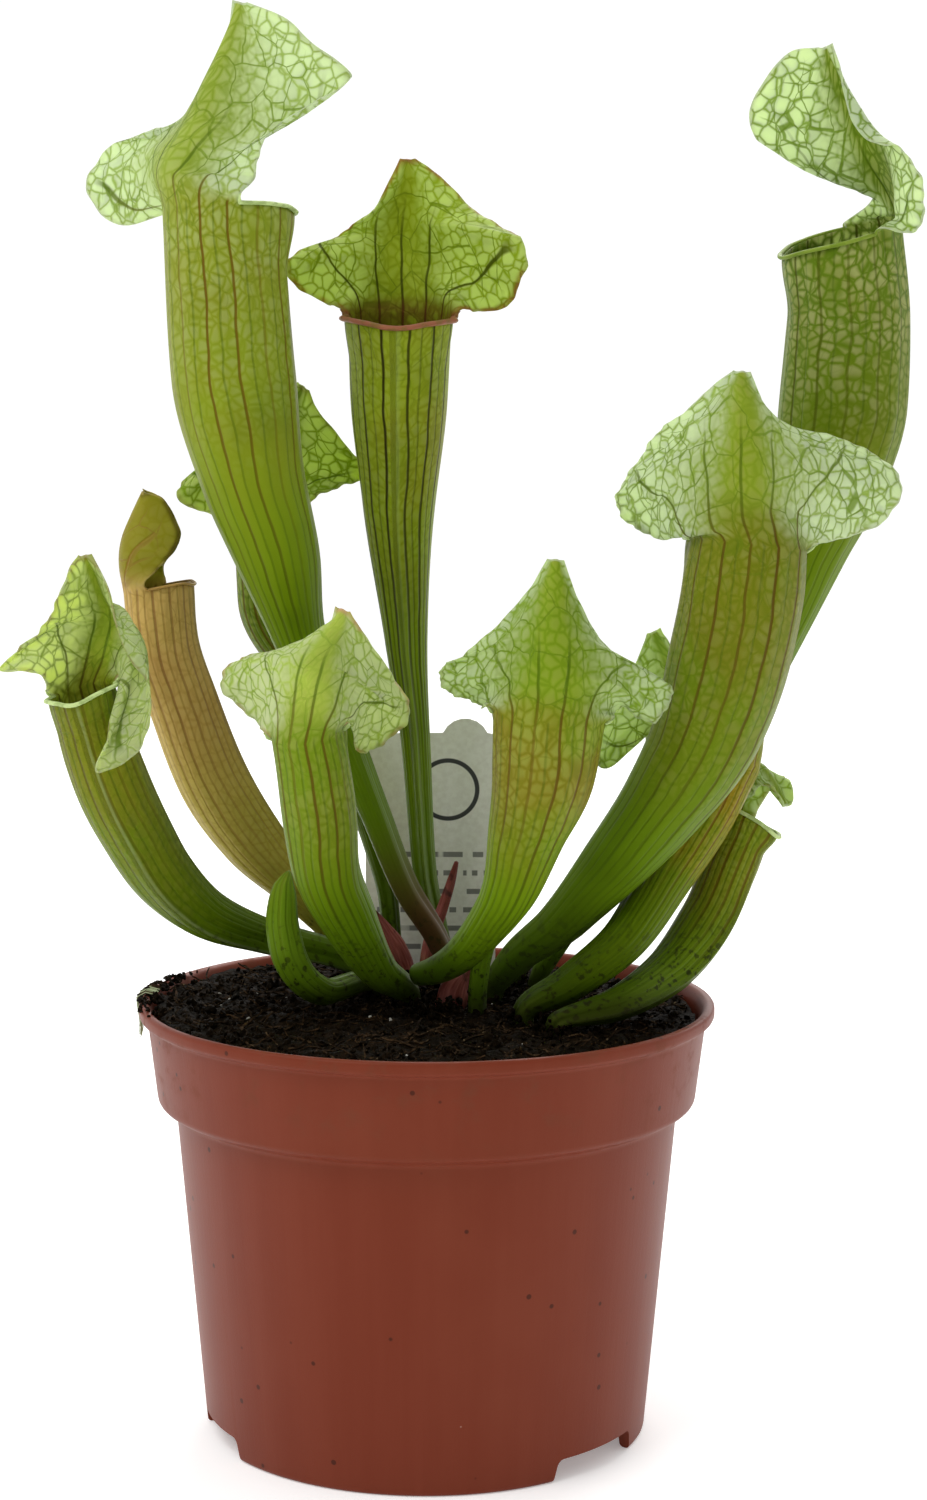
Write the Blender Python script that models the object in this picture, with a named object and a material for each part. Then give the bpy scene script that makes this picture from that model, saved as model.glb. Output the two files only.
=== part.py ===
# A potted trumpet pitcher plant: thirteen leaves, three red crown buds and a plain
# plant label standing in peat, in a round plastic nursery pot.
#
# Frame: +Z is up, the origin is the centre of the pot's underside, and -Y faces the
# side that the plant is looked at from. Scripts are in metres; the leaf control points
# below are given in millimetres and scaled by MM where the mesh is made.
import math
import random

import bmesh
import bpy
import numpy as np

MM = 0.001
SEED = 41

# Driving sizes, in millimetres.
POT_RIM_R = 60.0          # outside of the rim bead, a 12 cm pot
POT_H = 90.6              # floor of the foot to the top of the rim
POT_FOOT_R = 46.2         # outside of the foot
POT_NECK_R = 52.4         # body just under the collar band
BAND_Z = 70.3             # lower edge of the collar band
BAND_R = 56.1             # collar band at its lower edge
BAND_TOP_R = 58.2         # collar band just under the rim bead
RIM_BEAD = 2.6            # height of the rim bead
WALL = 1.2                # moulded wall
POT_FLOOR_Z = 6.5         # upper face of the pot's floor
PAD_R = 15.0              # round support pad under the middle of the floor
POT_SIDES = 56            # facets round the pot
CUTOUT_H = 5.6            # drainage cut-outs through the foot
CUTOUT_TURNS = (-70.0, 50.0, 170.0)   # degrees from the front, towards +X
CUTOUT_SPAN = 34.0
DRAIN_R = 4.2             # drain holes through the floor
DRAIN_RING_R = 30.0
DRAINS = 6

GAP = 0.35                # clearance between pieces that meet
SOIL_Z = 88.2             # mean height of the peat
SOIL_MOUND = 1.0          # how much higher it lies around the crown
SOIL_ROUGH = 0.9          # height of its lumps
SOIL_SHRINK = 0.40        # the peat draws back from the wall as it dries
SOIL_EDGE_RISE = 1.1      # how much higher it lies against the rim at the back left
SOIL_EDGE_TURN = 2.4      # where that is, in radians from +X
HOLE_Z = 79.5             # bottom of the holes that the leaves stand in
STEM_Z = 80.0             # bottom of every leaf and bud

LEAF_T = 0.85             # thickness of a leaf wall and of a hood
TIP_FLAT = 9.0            # a hood narrower than this is thickened as a flat strip
TIP_HALF = 1.5            # half the width of a hood's tip
FLANGE = 0.4              # how soon the hood's foot has turned out from the tube
FLANGE_OUT, FLANGE_RISE = 1.7, 1.2
LABEL_W, LABEL_T = 29.0, 0.7
LABEL_X, LABEL_Y = 0.2, 43.0
LABEL_TOP_Z = 141.5
LABEL_BOTTOM_Z = 58.0
LABEL_CORNER = 2.5
LABEL_EAR_R = 7.5         # the rounded ear that stands over the label's top edge
LABEL_EAR_X = 7.6

# How finely the leaves are cut: columns across a hood, columns in front of it,
# rows up a tube and rows of the hollow.
HOOD_COLS = 8
FRONT_COLS = 6
TUBE_ROWS = (0.0, 0.07, 0.15, 0.25, 0.36, 0.48, 0.60, 0.71, 0.81, 0.90, 0.96, 1.0)
HOLLOW_ROWS = 5
HOOD_STEPS = 2            # rows between two points of a rib

# The leaves, in millimetres.
# spine: points up the middle of the tube, each with the tube's radius there. The
#   first is the foot in the soil, the last the middle of the mouth.
# facing: the way that the mouth looks, in degrees from +X towards +Y.
# neck: half the angle of the tube's edge that carries on up into the hood.
# tilt: how far the mouth slopes up towards the hood, in degrees.
# wing: height of the ridge down the front of the tube.
# rib: points up the middle of the hood to its tip.
# left, right: the hood's edges as seen from -Y, from the neck round to the tip,
#   with one point beside each rib point.
# ripple: height of the waves along the hood's edges, and how many there are.
LEAVES = {
    "pitcher_centre": dict(
        spine=[(3, 34, 80, 2.3), (3, 34, 90, 2.3), (-1, 30, 113, 2.6),
               (-3, 27, 142, 3.2), (-5, 24, 164, 4.6), (-6.5, 20, 194, 7.8),
               (-6.5, 19, 215, 10.2), (-6.3, 18, 232, 10.8)],
        facing=-92, neck=88, tilt=4, wing=1.6,
        rib=[(-6, 30, 239), (-6, 32, 245), (-6, 34, 252), (-5.5, 33, 259), (-5, 31, 266)],
        left=[(-23, 22, 236), (-31.5, 18, 241.5), (-20, 26, 248.5), (-12, 30, 255.5),
              (-8.5, 31, 262)],
        right=[(10, 22, 233), (18, 20, 235), (20.5, 17, 247.5), (8.5, 29, 256),
               (1, 32, 263)],
        ripple=(0.8, 2.5)),
    "pitcher_tall_left": dict(
        spine=[(5, 20, 80, 2.1), (5, 20, 90, 2.1), (2, 18, 99, 2.2), (-5, 14, 111, 2.3),
               (-12, 10, 129, 2.7), (-19, 6, 147, 3.6), (-27, 3, 166, 5.2),
               (-31, 2, 182, 8.4), (-36.7, 2, 201, 10.8), (-39.9, 2, 219, 12.6),
               (-42, 2, 253.5, 12.1)],
        facing=28, neck=82, tilt=3, wing=1.5,
        rib=[(-54, -3, 259), (-52.5, -4, 263), (-50.5, -5, 268), (-47, -6, 275),
             (-42.5, -6, 285), (-38, -5, 294)],
        left=[(-58, 16, 251.5), (-70, 24, 251), (-73, 25, 263), (-52, 6, 270.5),
              (-45.5, -1, 280), (-41, -3, 288)],
        right=[(-35, -10, 256.5), (-31, -13, 262), (-26, -14, 269), (-15, -14, 278.5),
               (-20, -12, 286), (-29, -8, 291.5)],
        ripple=(0.7, 2.0)),
    "pitcher_tall_right": dict(
        spine=[(18, 22, 80, 2.4), (18, 22, 90, 2.4), (32, 22, 103, 3.0),
               (47, 21, 119, 3.8), (57, 20, 136, 4.6), (64.5, 19, 147, 5.0),
               (71.5, 18, 162, 6.0), (80, 16, 185, 8.6), (84.5, 14, 200, 11.4),
               (86.5, 13, 214, 13.2), (87, 12, 231, 12.7), (86, 10, 249, 11.4)],
        facing=188, neck=62, tilt=12, wing=1.2,
        rib=[(97, 11, 254), (95, 11, 259), (91, 10, 266), (86.5, 9, 275),
             (80.5, 6, 287)],
        left=[(92, 16, 257), (84, 17, 262), (66, 12, 267.5), (66.5, 8, 278),
              (73, 6, 286)],
        right=[(98, -3, 248.5), (100, -6, 255), (95.5, -3.5, 264.5), (86, 3, 271),
               (83.5, 5, 282)],
        ripple=(0.7, 2.0)),
    "pitcher_right": dict(
        spine=[(14, 8, 80, 2.6), (14, 8, 90, 2.6), (18, 3, 98, 3.4), (27, -4, 107, 4.6),
               (38, -12, 121, 6.8), (48, -18, 135, 8.8), (56, -22, 150, 10.9),
               (60, -26, 166, 12.0), (62, -28, 178, 12.0), (63, -28, 187, 11.4)],
        facing=92, neck=92, tilt=3, wing=1.6,
        rib=[(61, -39, 193), (61, -40, 199), (61, -40, 205), (61, -39, 210),
             (61, -36, 215.5), (61, -32, 221)],
        left=[(46, -22, 188), (39, -15, 190), (38.5, -13, 197), (43, -20, 207),
              (50.5, -28, 213), (55, -31, 218)],
        right=[(80, -24, 187), (92, -17, 190), (95.5, -16, 199), (84, -23, 205),
               (69, -30, 210), (65, -32, 215.5)],
        ripple=(1.0, 3.0)),
    "pitcher_front": dict(
        spine=[(-2, -1.5, 96, 2.3), (1.5, -5, 97.5, 2.9), (7, -11, 102, 3.6),
               (12, -18, 109, 4.3), (17, -27, 119, 5.7), (20, -33, 131, 7.7),
               (23, -37, 143, 10.0), (24, -38, 154, 10.8)],
        facing=88, neck=90, tilt=3, wing=1.4,
        rib=[(24, -48, 159), (24, -48, 163.5), (24, -47, 168), (24.3, -45, 174),
             (25, -39, 185)],
        left=[(9.8, -32, 156), (5, -27, 157), (2, -26, 161.5), (10, -33, 167.5),
              (19, -38, 178)],
        right=[(38.2, -34.5, 155), (45.5, -34.5, 152.7), (48.7, -36, 159), (38, -36.5, 165),
               (30, -39, 176)],
        ripple=(0.9, 3.0)),
    "pitcher_front_left": dict(
        spine=[(-4, 2, 80, 2.7), (-4, 2, 90, 2.7), (-10, -7, 98, 4.0),
               (-16, -17, 111, 5.8), (-20, -26, 123, 6.8), (-21, -31, 135, 7.4),
               (-22, -34, 144, 7.2), (-23, -35, 150, 7.0)],
        facing=84, neck=96, tilt=2, wing=1.4,
        rib=[(-22, -43, 157), (-21, -44, 162), (-20, -44, 166), (-18, -41, 170),
             (-16, -37, 175)],
        left=[(-34, -29, 151), (-40.5, -25, 158), (-37, -26, 165), (-24.5, -34, 167.5),
              (-19, -37, 171.5)],
        right=[(-11, -27, 151.7), (-5.3, -21, 148), (-3, -23, 154), (-7.5, -31, 163),
               (-12.5, -36, 171)],
        ripple=(0.9, 2.5)),
    "pitcher_left": dict(
        spine=[(-12, 17, 80, 2.3), (-12, 17, 91.5, 2.3), (-18, 12, 97, 2.8),
               (-35, 3, 103.5, 3.8), (-45.5, -6, 109.5, 5.2), (-53.7, -12, 118.5, 6.6),
               (-59, -16, 128.5, 7.2), (-63, -19, 138, 7.5), (-66.3, -20, 148, 7.2),
               (-68.5, -20, 157, 6.2)],
        facing=-98, neck=84, tilt=6, wing=1.3,
        rib=[(-66, -13.5, 163), (-65.5, -12, 166), (-65, -10, 169), (-65, -9, 172),
             (-66, -9, 175.5), (-69, -12, 184)],
        left=[(-77, -23, 160), (-84.5, -25, 161.5), (-78, -21, 164.5), (-73.5, -17, 169),
              (-71.5, -14, 175), (-71, -13, 181)],
        right=[(-59.5, -28.5, 153.5), (-61.8, -32, 143), (-54, -31, 147), (-54.5, -27, 158),
               (-62, -20, 165), (-63.9, -13.5, 179)],
        ripple=(0.5, 2.0)),
    "pitcher_brown": dict(
        spine=[(-13, 30, 80, 2.2), (-13, 30, 90, 2.2), (-20, 26, 100, 3.4),
               (-28, 21, 110, 4.6), (-38, 18, 121.5, 6.6), (-46, 14, 135, 7.3),
               (-51.5, 10, 151, 7.2), (-55.5, 8, 165, 7.2), (-56.5, 8, 176, 7.2)],
        facing=-8, neck=58, tilt=-6, wing=1.0,
        rib=[(-64.5, 8, 181), (-64, 8, 186), (-62, 8, 191), (-59.5, 7, 196)],
        left=[(-58, 15, 178), (-54, 13, 182), (-53, 11, 187), (-56, 8, 194)],
        right=[(-57, 1, 178), (-52.5, 2, 182), (-52, 4, 187), (-55, 5, 194)],
        ripple=(0.3, 1.0)),
    "pitcher_back_left": dict(
        spine=[(-8, 36, 80, 2.0), (-8, 36, 90, 2.0), (-9, 33, 106, 2.2),
               (-12, 31, 119, 2.6), (-18, 30, 137, 3.6), (-27, 30, 155, 4.8),
               (-35.5, 30, 172, 6.0), (-35.5, 29, 187, 6.6)],
        facing=-70, neck=86, tilt=6, wing=1.2,
        rib=[(-38, 37, 193), (-37, 37, 199), (-34, 36, 206), (-31, 33, 212),
             (-27, 29, 218)],
        left=[(-48, 34, 190), (-55, 32, 193), (-53, 34, 198), (-43, 36, 203),
              (-32, 32, 213)],
        right=[(-26, 28, 192), (-20, 27, 196), (-13, 31, 199.3), (-18, 29.5, 206),
               (-24, 28, 213)],
        ripple=(0.5, 2.0)),
    "pitcher_behind": dict(
        spine=[(23, 10.4, 80, 1.9), (23, 10.4, 90, 1.9), (28, 10.4, 101, 2.3),
               (37, 10, 113, 3.2), (45, 9.7, 126, 4.2), (50.3, 9.6, 137, 4.9),
               (51.8, 9.5, 144, 5.0)],
        facing=120, neck=88, tilt=4, wing=0.8,
        rib=[(53.3, 3, 150), (52.3, 2, 154), (50.8, 3, 159), (49, 5, 163.5), (47, 6, 167.5)],
        left=[(38, 4, 138.5), (33.5, 3, 143.5), (37, 4, 150), (42, 5, 158),
              (44.5, 6, 164)],
        right=[(54.8, 11.3, 148), (55.7, 11.3, 152), (53.8, 9.2, 158), (51.4, 8, 163),
               (49.5, 7, 166)],
        ripple=(0.4, 1.5)),
    "pitcher_low_inner": dict(
        spine=[(20, -15, 80, 2.6), (20, -15, 90, 2.6), (29, -14, 96, 3.4),
               (39.5, -14, 104.5, 4.2), (50, -5, 118, 5.3), (58, 0, 131, 6.4),
               (63, 2.5, 141, 6.5)],
        facing=160, neck=88, tilt=2, wing=1.3,
        rib=[(69.8, 0, 147), (70.3, 0, 151), (70.6, 0, 155), (70.5, 0, 159)],
        left=[(62, 9, 144), (60.5, 8, 149), (62, 6, 154), (67, 2, 158)],
        right=[(64, -6, 145), (63, -7, 149), (65, -6, 154), (68.5, -2, 158)],
        ripple=(0.4, 1.5)),
    "pitcher_low_outer": dict(
        spine=[(26, -22, 80, 2.4), (26, -22, 90, 2.4), (38, -18, 93, 3.6),
               (49, -7, 97.3, 4.8), (58.5, 3, 107, 5.7), (64, 8, 118, 5.7),
               (68, 10, 127.5, 5.2)],
        facing=-35, neck=66, tilt=8, wing=1.2,
        rib=[(65, 14, 134.5), (67, 14, 138.5), (71, 12, 138.5), (75.7, 8, 130.5)],
        left=[(68, 8.5, 132), (69.5, 7, 134.5), (72.5, 6, 134.5), (74.5, 6.3, 132)],
        right=[(73, 16, 132.5), (75, 15, 135.5), (77, 12, 135), (77.3, 9.8, 132)],
        ripple=(0.3, 1.5)),
}

# Solid pieces without a mouth: spine points with the radius, how flat the section is,
# and the way that its broad side looks.
HORNS = {
    "pitcher_closed": dict(
        spine=[(-10, 11.5, 80, 2.1), (-10, 11.5, 91.5, 2.1), (-14, 4, 93.4, 2.6),
               (-20, -6, 93.2, 2.9), (-25, -11, 96.5, 3.3), (-28.5, -13, 103.5, 3.7),
               (-29.5, -13, 110, 3.4), (-29.2, -12, 115.5, 2.6), (-28.2, -11, 119, 0.7)],
        facing=90, flat=0.85, wing=0.9),
    "bud_thin": dict(
        spine=[(-0.4, 26.8, 80, 1.8), (-0.4, 26.8, 91, 1.8), (0.2, 26.8, 97, 1.6),
               (2.6, 26.5, 104, 1.3), (4.8, 25.6, 111, 1.0), (6.0, 25, 115.5, 0.5)],
        facing=-90, flat=0.8, wing=0.3),
    "bud_left": dict(
        spine=[(-5.5, 22, 80, 2.4), (-5.5, 22, 92, 2.6), (-7, 21, 97, 2.5),
               (-9.5, 20, 102, 1.4), (-12, 19, 106, 0.5)],
        facing=-90, flat=0.7, wing=0.3),
    "bud_front": dict(
        spine=[(5, -2.5, 80, 3.0), (5, -2.5, 89, 3.4), (5.6, -2, 92.5, 3.2),
               (7.4, -1.2, 95.6, 1.7), (8.8, -0.6, 97.6, 0.5)],
        facing=-90, flat=0.6, wing=0.3),
}
# The strip that carries pitcher_front down from its tube into the soil.
FRONT_LEG = dict(
    spine=[(10.5, -8, 80, 2.0), (10.5, -8, 92, 2.0), (11, -11, 99, 2.1),
           (12, -15, 105, 2.2)],
    facing=-60, flat=0.7, wing=0.2)

HORN_SIDES = 10
HORN_ROWS = (0.0, 0.1, 0.25, 0.38, 0.50, 0.62, 0.74, 0.86, 0.95, 1.0)

COLOURS = {
    "pot": (0.205, 0.042, 0.024, 1.0),
    "soil": (0.012, 0.008, 0.006, 1.0),
    "label": (0.42, 0.41, 0.38, 1.0),
    "leaf": (0.20, 0.34, 0.04, 1.0),
    "brown": (0.30, 0.19, 0.06, 1.0),
    "bud": (0.30, 0.06, 0.04, 1.0),
}


def clear_scene():
    for obj in list(bpy.data.objects):
        bpy.data.objects.remove(obj, do_unlink=True)


def material(name, colour, roughness):
    mat = bpy.data.materials.new(name)
    mat.use_nodes = True
    shader = mat.node_tree.nodes["Principled BSDF"]
    shader.inputs["Base Color"].default_value = colour
    shader.inputs["Roughness"].default_value = roughness
    mat.diffuse_color = colour
    return mat


def smooth_curve(points, at):
    """Values at the parameters `at` on a curve that passes through every point.

    The knots are spaced by distance and the slopes are limited, so that a stretch
    between two equal values stays level and the curve never swings past a point.
    """
    points = np.asarray(points, float)
    steps = np.linalg.norm(np.diff(points[:, :3], axis=0), axis=1)
    knots = np.concatenate([[0.0], np.cumsum(steps)])
    knots /= knots[-1]
    return limited_cubic(knots, points, at)


def limited_cubic(knots, points, at):
    points = np.asarray(points, float)
    knots = np.asarray(knots, float)
    at = np.clip(np.asarray(at, float), knots[0], knots[-1])
    width = np.diff(knots)[:, None]
    slope = np.diff(points, axis=0) / width
    tangent = np.zeros_like(points)
    tangent[0], tangent[-1] = slope[0], slope[-1]
    for i in range(1, len(points) - 1):
        a, b = slope[i - 1], slope[i]
        w1, w2 = 2 * width[i] + width[i - 1], width[i] + 2 * width[i - 1]
        same = a * b > 0
        safe_a, safe_b = np.where(same, a, 1.0), np.where(same, b, 1.0)
        tangent[i] = np.where(same, (w1 + w2) / (w1 / safe_a + w2 / safe_b), 0.0)
    cell = np.clip(np.searchsorted(knots, at, side="right") - 1, 0, len(knots) - 2)
    h = width[cell]
    s = (at - knots[cell])[:, None] / h
    p0, p1, m0, m1 = points[cell], points[cell + 1], tangent[cell], tangent[cell + 1]
    return ((1 + 2 * s) * (1 - s) ** 2 * p0 + s * (1 - s) ** 2 * h * m0
            + s * s * (3 - 2 * s) * p1 + s * s * (s - 1) * h * m1)


def unit(v):
    return v / np.maximum(np.linalg.norm(v, axis=-1, keepdims=True), 1e-9)


def step_up(x):
    x = np.clip(x, 0.0, 1.0)
    return x * x * (3 - 2 * x)


def spine_frames(spine, facing, at):
    """Centre, radius, tangent, back and side at each parameter up a spine."""
    fine = np.linspace(0.0, 1.0, 121)
    line = smooth_curve(spine, fine)
    tangent = unit(np.gradient(line[:, :3], axis=0))
    turn = math.radians(facing)
    front = np.array([math.cos(turn), math.sin(turn), 0.0])
    back = np.zeros_like(tangent)
    current = -front
    for i in range(len(fine) - 1, -1, -1):
        current = unit(current - tangent[i] * np.dot(current, tangent[i]))
        back[i] = current

    def pick(values):
        return np.stack([np.interp(at, fine, column) for column in values.T], axis=1)

    line, tangent, back = pick(line), unit(pick(tangent)), unit(pick(back))
    side = np.cross(tangent, back)
    return line[:, :3], line[:, 3], tangent, back, side


def tube_angles(neck, hood_cols, front_cols):
    """Angles round the tube: 0 is the back, the hood's sector comes first."""
    half = math.radians(neck)
    hood = np.linspace(-half, half, hood_cols + 1)
    front = np.linspace(half, 2 * math.pi - half, front_cols + 1)[1:-1]
    return np.concatenate([hood, front])


def tube_rings(leaf, rows, angles):
    """Outer surface of the tube, rows by angles."""
    centre, radius, tangent, back, side = spine_frames(leaf["spine"], leaf["facing"], rows)
    rows = np.asarray(rows)
    away = np.abs((angles + math.pi) % (2 * math.pi) - math.pi)
    half = math.radians(leaf["neck"])
    ridge = np.clip(1 - (math.pi - away) / 0.42, 0.0, 1.0) ** 1.5
    wing = leaf["wing"] * step_up(rows / 0.2) * (1 - 0.75 * step_up((rows - 0.6) / 0.4))
    lip = step_up((rows - 0.93) / 0.07)[:, None] * step_up((away - half) / 0.4)[None, :]
    r = radius[:, None] + wing[:, None] * ridge[None, :] + 1.1 * lip
    lift = (math.tan(math.radians(leaf["tilt"])) * r * np.cos(angles)[None, :]
            - 0.9 * np.exp(-((math.pi - away) / 0.45) ** 2)[None, :])
    lift = lift * step_up((rows - 0.7) / 0.3)[:, None]
    out = (np.cos(angles)[None, :, None] * back[:, None, :]
           + np.sin(angles)[None, :, None] * side[:, None, :])
    return centre[:, None, :] + r[..., None] * out + lift[..., None] * tangent[:, None, :], out


def hood_rows(leaf, neck_row, count, cols):
    """Rows of the hood from the neck (row 0, given) to its tip."""
    _, _, tangent, back, side = spine_frames(leaf["spine"], leaf["facing"], [1.0])
    side, back = side[0], back[0]
    rib, left, right = (np.asarray(leaf[k], float) for k in ("rib", "left", "right"))
    middle = neck_row[cols // 2]
    if np.dot(left[1] - rib[1], side) < np.dot(right[1] - rib[1], side):
        low, high = left, right
    else:
        low, high = right, left
    run = unit(rib[-1] - rib[-2])
    across = high[-1] - low[-1]
    tip = TIP_HALF * unit(across - run * np.dot(across, run))
    centre = np.asarray(leaf["spine"][-1][:3], float)
    rise = FLANGE_RISE * tangent[0]
    flange = [edge + FLANGE_OUT * unit(edge - centre) + rise for edge in
              (neck_row[0], neck_row[-1])]
    ribs = np.vstack([middle, middle + FLANGE * (rib[0] - middle), rib])
    lows = np.vstack([neck_row[0], flange[0], low, rib[-1] - tip])
    highs = np.vstack([neck_row[-1], flange[1], high, rib[-1] + tip])
    whole = np.arange(1.0, len(rib) + 1)
    knots = np.concatenate([[0.0, FLANGE], whole]) / len(rib)
    edge_knots = np.concatenate([[0.0, FLANGE], whole[:-1], [whole[-1] - 0.45, whole[-1]]])
    edge_knots /= len(rib)
    v = np.concatenate([[0.0, knots[1]], np.linspace(knots[2], 1.0, count - 1)])
    m = limited_cubic(knots, ribs, v)
    lo, hi = limited_cubic(edge_knots, lows, v), limited_cubic(edge_knots, highs, v)
    half_angle = math.radians(leaf["neck"])
    radius = np.linalg.norm(neck_row[0] - neck_row[-1]) / 2 / max(math.sin(half_angle), 0.3)
    arc = radius * math.tan(half_angle / 2)
    fade = step_up(v / knots[2] / 1.5)[:, None]
    out = np.zeros((count + 1, cols + 1, 3))
    seed = random.Random(SEED + int(abs(leaf["spine"][0][0] * 7 + leaf["facing"])))
    for edge, sign in ((lo, -1.0), (hi, 1.0)):
        reach = np.linalg.norm(edge - m, axis=1, keepdims=True)
        lean = 0.65 * np.clip(reach / 12.0, 0.0, 1.0)
        toward = unit(unit(edge - m) * (1 - lean) + side * sign * lean)
        handle = m + (1 - fade) * (sign * side * arc) + fade * toward * reach * 0.55
        for k in range(cols // 2 + 1):
            u = k / (cols // 2)
            column = cols // 2 + int(sign) * k
            out[:, column] = ((1 - u) ** 2 * m + 2 * u * (1 - u) * handle + u * u * edge)
    out[0] = neck_row
    normal = grid_normals(out)
    height, waves = leaf["ripple"]
    window = np.sin(math.pi * np.clip(v * 1.02, 0, 1)) ** 0.7
    for sign in (-1, 1):
        phase = seed.uniform(0.0, 2 * math.pi)
        wave = height * window * np.sin(2 * math.pi * waves * v + phase)
        for k in range(1, cols // 2 + 1):
            column = cols // 2 + sign * k
            out[:, column] += normal[:, column] * (wave * (k / (cols // 2)) ** 2.2)[:, None]
    out[0] = neck_row
    return out


def grid_normals(grid):
    """Normals of an open grid, weighted by area, so that a pinched corner is harmless."""
    cell = np.cross(grid[1:, 1:] - grid[:-1, :-1], grid[1:, :-1] - grid[:-1, 1:])
    total = np.zeros_like(grid)
    for rows in (slice(None, -1), slice(1, None)):
        for cols in (slice(None, -1), slice(1, None)):
            total[rows, cols] += cell
    return unit(total)


def skin_normals(grid):
    """Normals to thicken a hood along: even from one point to the next, and flat
    across the narrow tip, so that the inner skin doesn't cross itself."""
    normal = grid_normals(grid)
    rows, cols, _ = grid.shape
    for _ in range(2):
        padded = np.pad(normal, ((1, 1), (1, 1), (0, 0)), mode="edge")
        normal = unit(2 * normal + padded[:-2, 1:-1] + padded[2:, 1:-1]
                      + padded[1:-1, :-2] + padded[1:-1, 2:])
    width = np.linalg.norm(grid[:, -1] - grid[:, 0], axis=1)
    flat = np.clip(1 - width / TIP_FLAT, 0.0, 1.0)[:, None, None]
    return unit((1 - flat) * normal + flat * normal.mean(axis=1, keepdims=True))


def mesh_object(name, verts, faces, mat, smooth_angle=40):
    mesh = bpy.data.meshes.new(name)
    mesh.from_pydata([tuple(c * MM for c in v) for v in verts], [], faces)
    mesh.validate()
    bm = bmesh.new()
    bm.from_mesh(mesh)
    bmesh.ops.triangulate(bm, faces=[f for f in bm.faces if len(f.verts) > 4])
    bmesh.ops.recalc_face_normals(bm, faces=bm.faces)
    if bm.calc_volume(signed=True) < 0:
        bmesh.ops.reverse_faces(bm, faces=bm.faces)
    bm.to_mesh(mesh)
    bm.free()
    obj = bpy.data.objects.new(name, mesh)
    bpy.context.scene.collection.objects.link(obj)
    mesh.materials.append(mat)
    mesh.shade_smooth()
    mesh.set_sharp_from_angle(angle=math.radians(smooth_angle))
    return obj


def ring_faces(a, b, count):
    return [(a + i, a + (i + 1) % count, b + (i + 1) % count, b + i) for i in range(count)]


def halves(faces, flip=False):
    """Cut quads along the same diagonal on both sides of a thin wall."""
    out = []
    for p, q, r, s in faces:
        pair = [(p, q, r), (p, r, s)]
        out += [t[::-1] for t in pair] if flip else pair
    return out


def pitcher(name, leaf, mat):
    """A hollow leaf: tube, lip and hood in one closed skin of even thickness."""
    angles = tube_angles(leaf["neck"], HOOD_COLS, FRONT_COLS)
    n, cols = len(angles), HOOD_COLS
    outer, out_dir = tube_rings(leaf, TUBE_ROWS, angles)
    hood_count = HOOD_STEPS * len(leaf["rib"])
    hood = hood_rows(leaf, outer[-1, :cols + 1], hood_count, cols)
    normal = skin_normals(hood)
    if np.dot(normal[0, cols // 2], out_dir[-1, cols // 2]) < 0:
        normal = -normal
    normal[0] = out_dir[-1, :cols + 1]
    inner_hood = hood - LEAF_T * normal
    depth = len(TUBE_ROWS) - HOLLOW_ROWS
    inner = outer[depth:] - LEAF_T * out_dir[depth:]
    verts, faces = [], []

    def add(rows):
        start = len(verts)
        verts.extend(tuple(p) for p in rows.reshape(-1, 3))
        return start

    tube0 = add(outer)
    hood0 = add(hood[1:])
    inner0 = add(inner)
    inner_hood0 = add(inner_hood[1:])
    foot = add(outer[0].mean(axis=0))
    well = add(inner[0].mean(axis=0) - np.array([0.0, 0.0, 1.0]))
    top = tube0 + n * (len(TUBE_ROWS) - 1)
    for row in range(len(TUBE_ROWS) - 1):
        faces += halves(ring_faces(tube0 + n * row, tube0 + n * (row + 1), n))
    for row in range(HOLLOW_ROWS - 1):
        faces += halves(ring_faces(inner0 + n * row, inner0 + n * (row + 1), n), True)
    for i in range(n):
        faces.append((foot, tube0 + (i + 1) % n, tube0 + i))
        faces.append((well, inner0 + i, inner0 + (i + 1) % n))
    inner_top = inner0 + n * (HOLLOW_ROWS - 1)

    def outer_row(r):
        return [top + i for i in range(cols + 1)] if r == 0 else [
            hood0 + (r - 1) * (cols + 1) + i for i in range(cols + 1)]

    def inner_row(r):
        return [inner_top + i for i in range(cols + 1)] if r == 0 else [
            inner_hood0 + (r - 1) * (cols + 1) + i for i in range(cols + 1)]

    for r in range(hood_count):
        a, b, c, d = outer_row(r), outer_row(r + 1), inner_row(r), inner_row(r + 1)
        for i in range(cols):
            faces += halves([(a[i], a[i + 1], b[i + 1], b[i])])
            faces += halves([(c[i], c[i + 1], d[i + 1], d[i])], True)
        faces.append((a[0], b[0], d[0], c[0]))
        faces.append((a[-1], c[-1], d[-1], b[-1]))
    a, c = outer_row(hood_count), inner_row(hood_count)
    for i in range(cols):
        faces.append((a[i], a[i + 1], c[i + 1], c[i]))
    for i in range(cols, n):
        j = (i + 1) % n
        faces.append((top + i, top + j, inner_top + j, inner_top + i))
    return mesh_object(name, verts, faces, mat)


def horn_rings(horn, rows, sides):
    centre, radius, _, back, side = spine_frames(horn["spine"], horn["facing"], rows)
    angles = np.arange(sides) * 2 * math.pi / sides
    away = np.abs((angles + math.pi) % (2 * math.pi) - math.pi)
    ridge = np.clip(1 - (math.pi - away) / 0.6, 0.0, 1.0)
    r = radius[:, None] + 0 * angles[None, :]
    wing = horn["wing"] * ridge[None, :] * step_up(np.asarray(rows) / 0.25)[:, None]
    across = np.sin(angles)[None, :, None] * side[:, None, :] * r[..., None]
    deep = (np.cos(angles)[None, :] * r * horn["flat"] - wing * (r > 1.0))
    return centre[:, None, :] + across + deep[..., None] * back[:, None, :]


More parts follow.
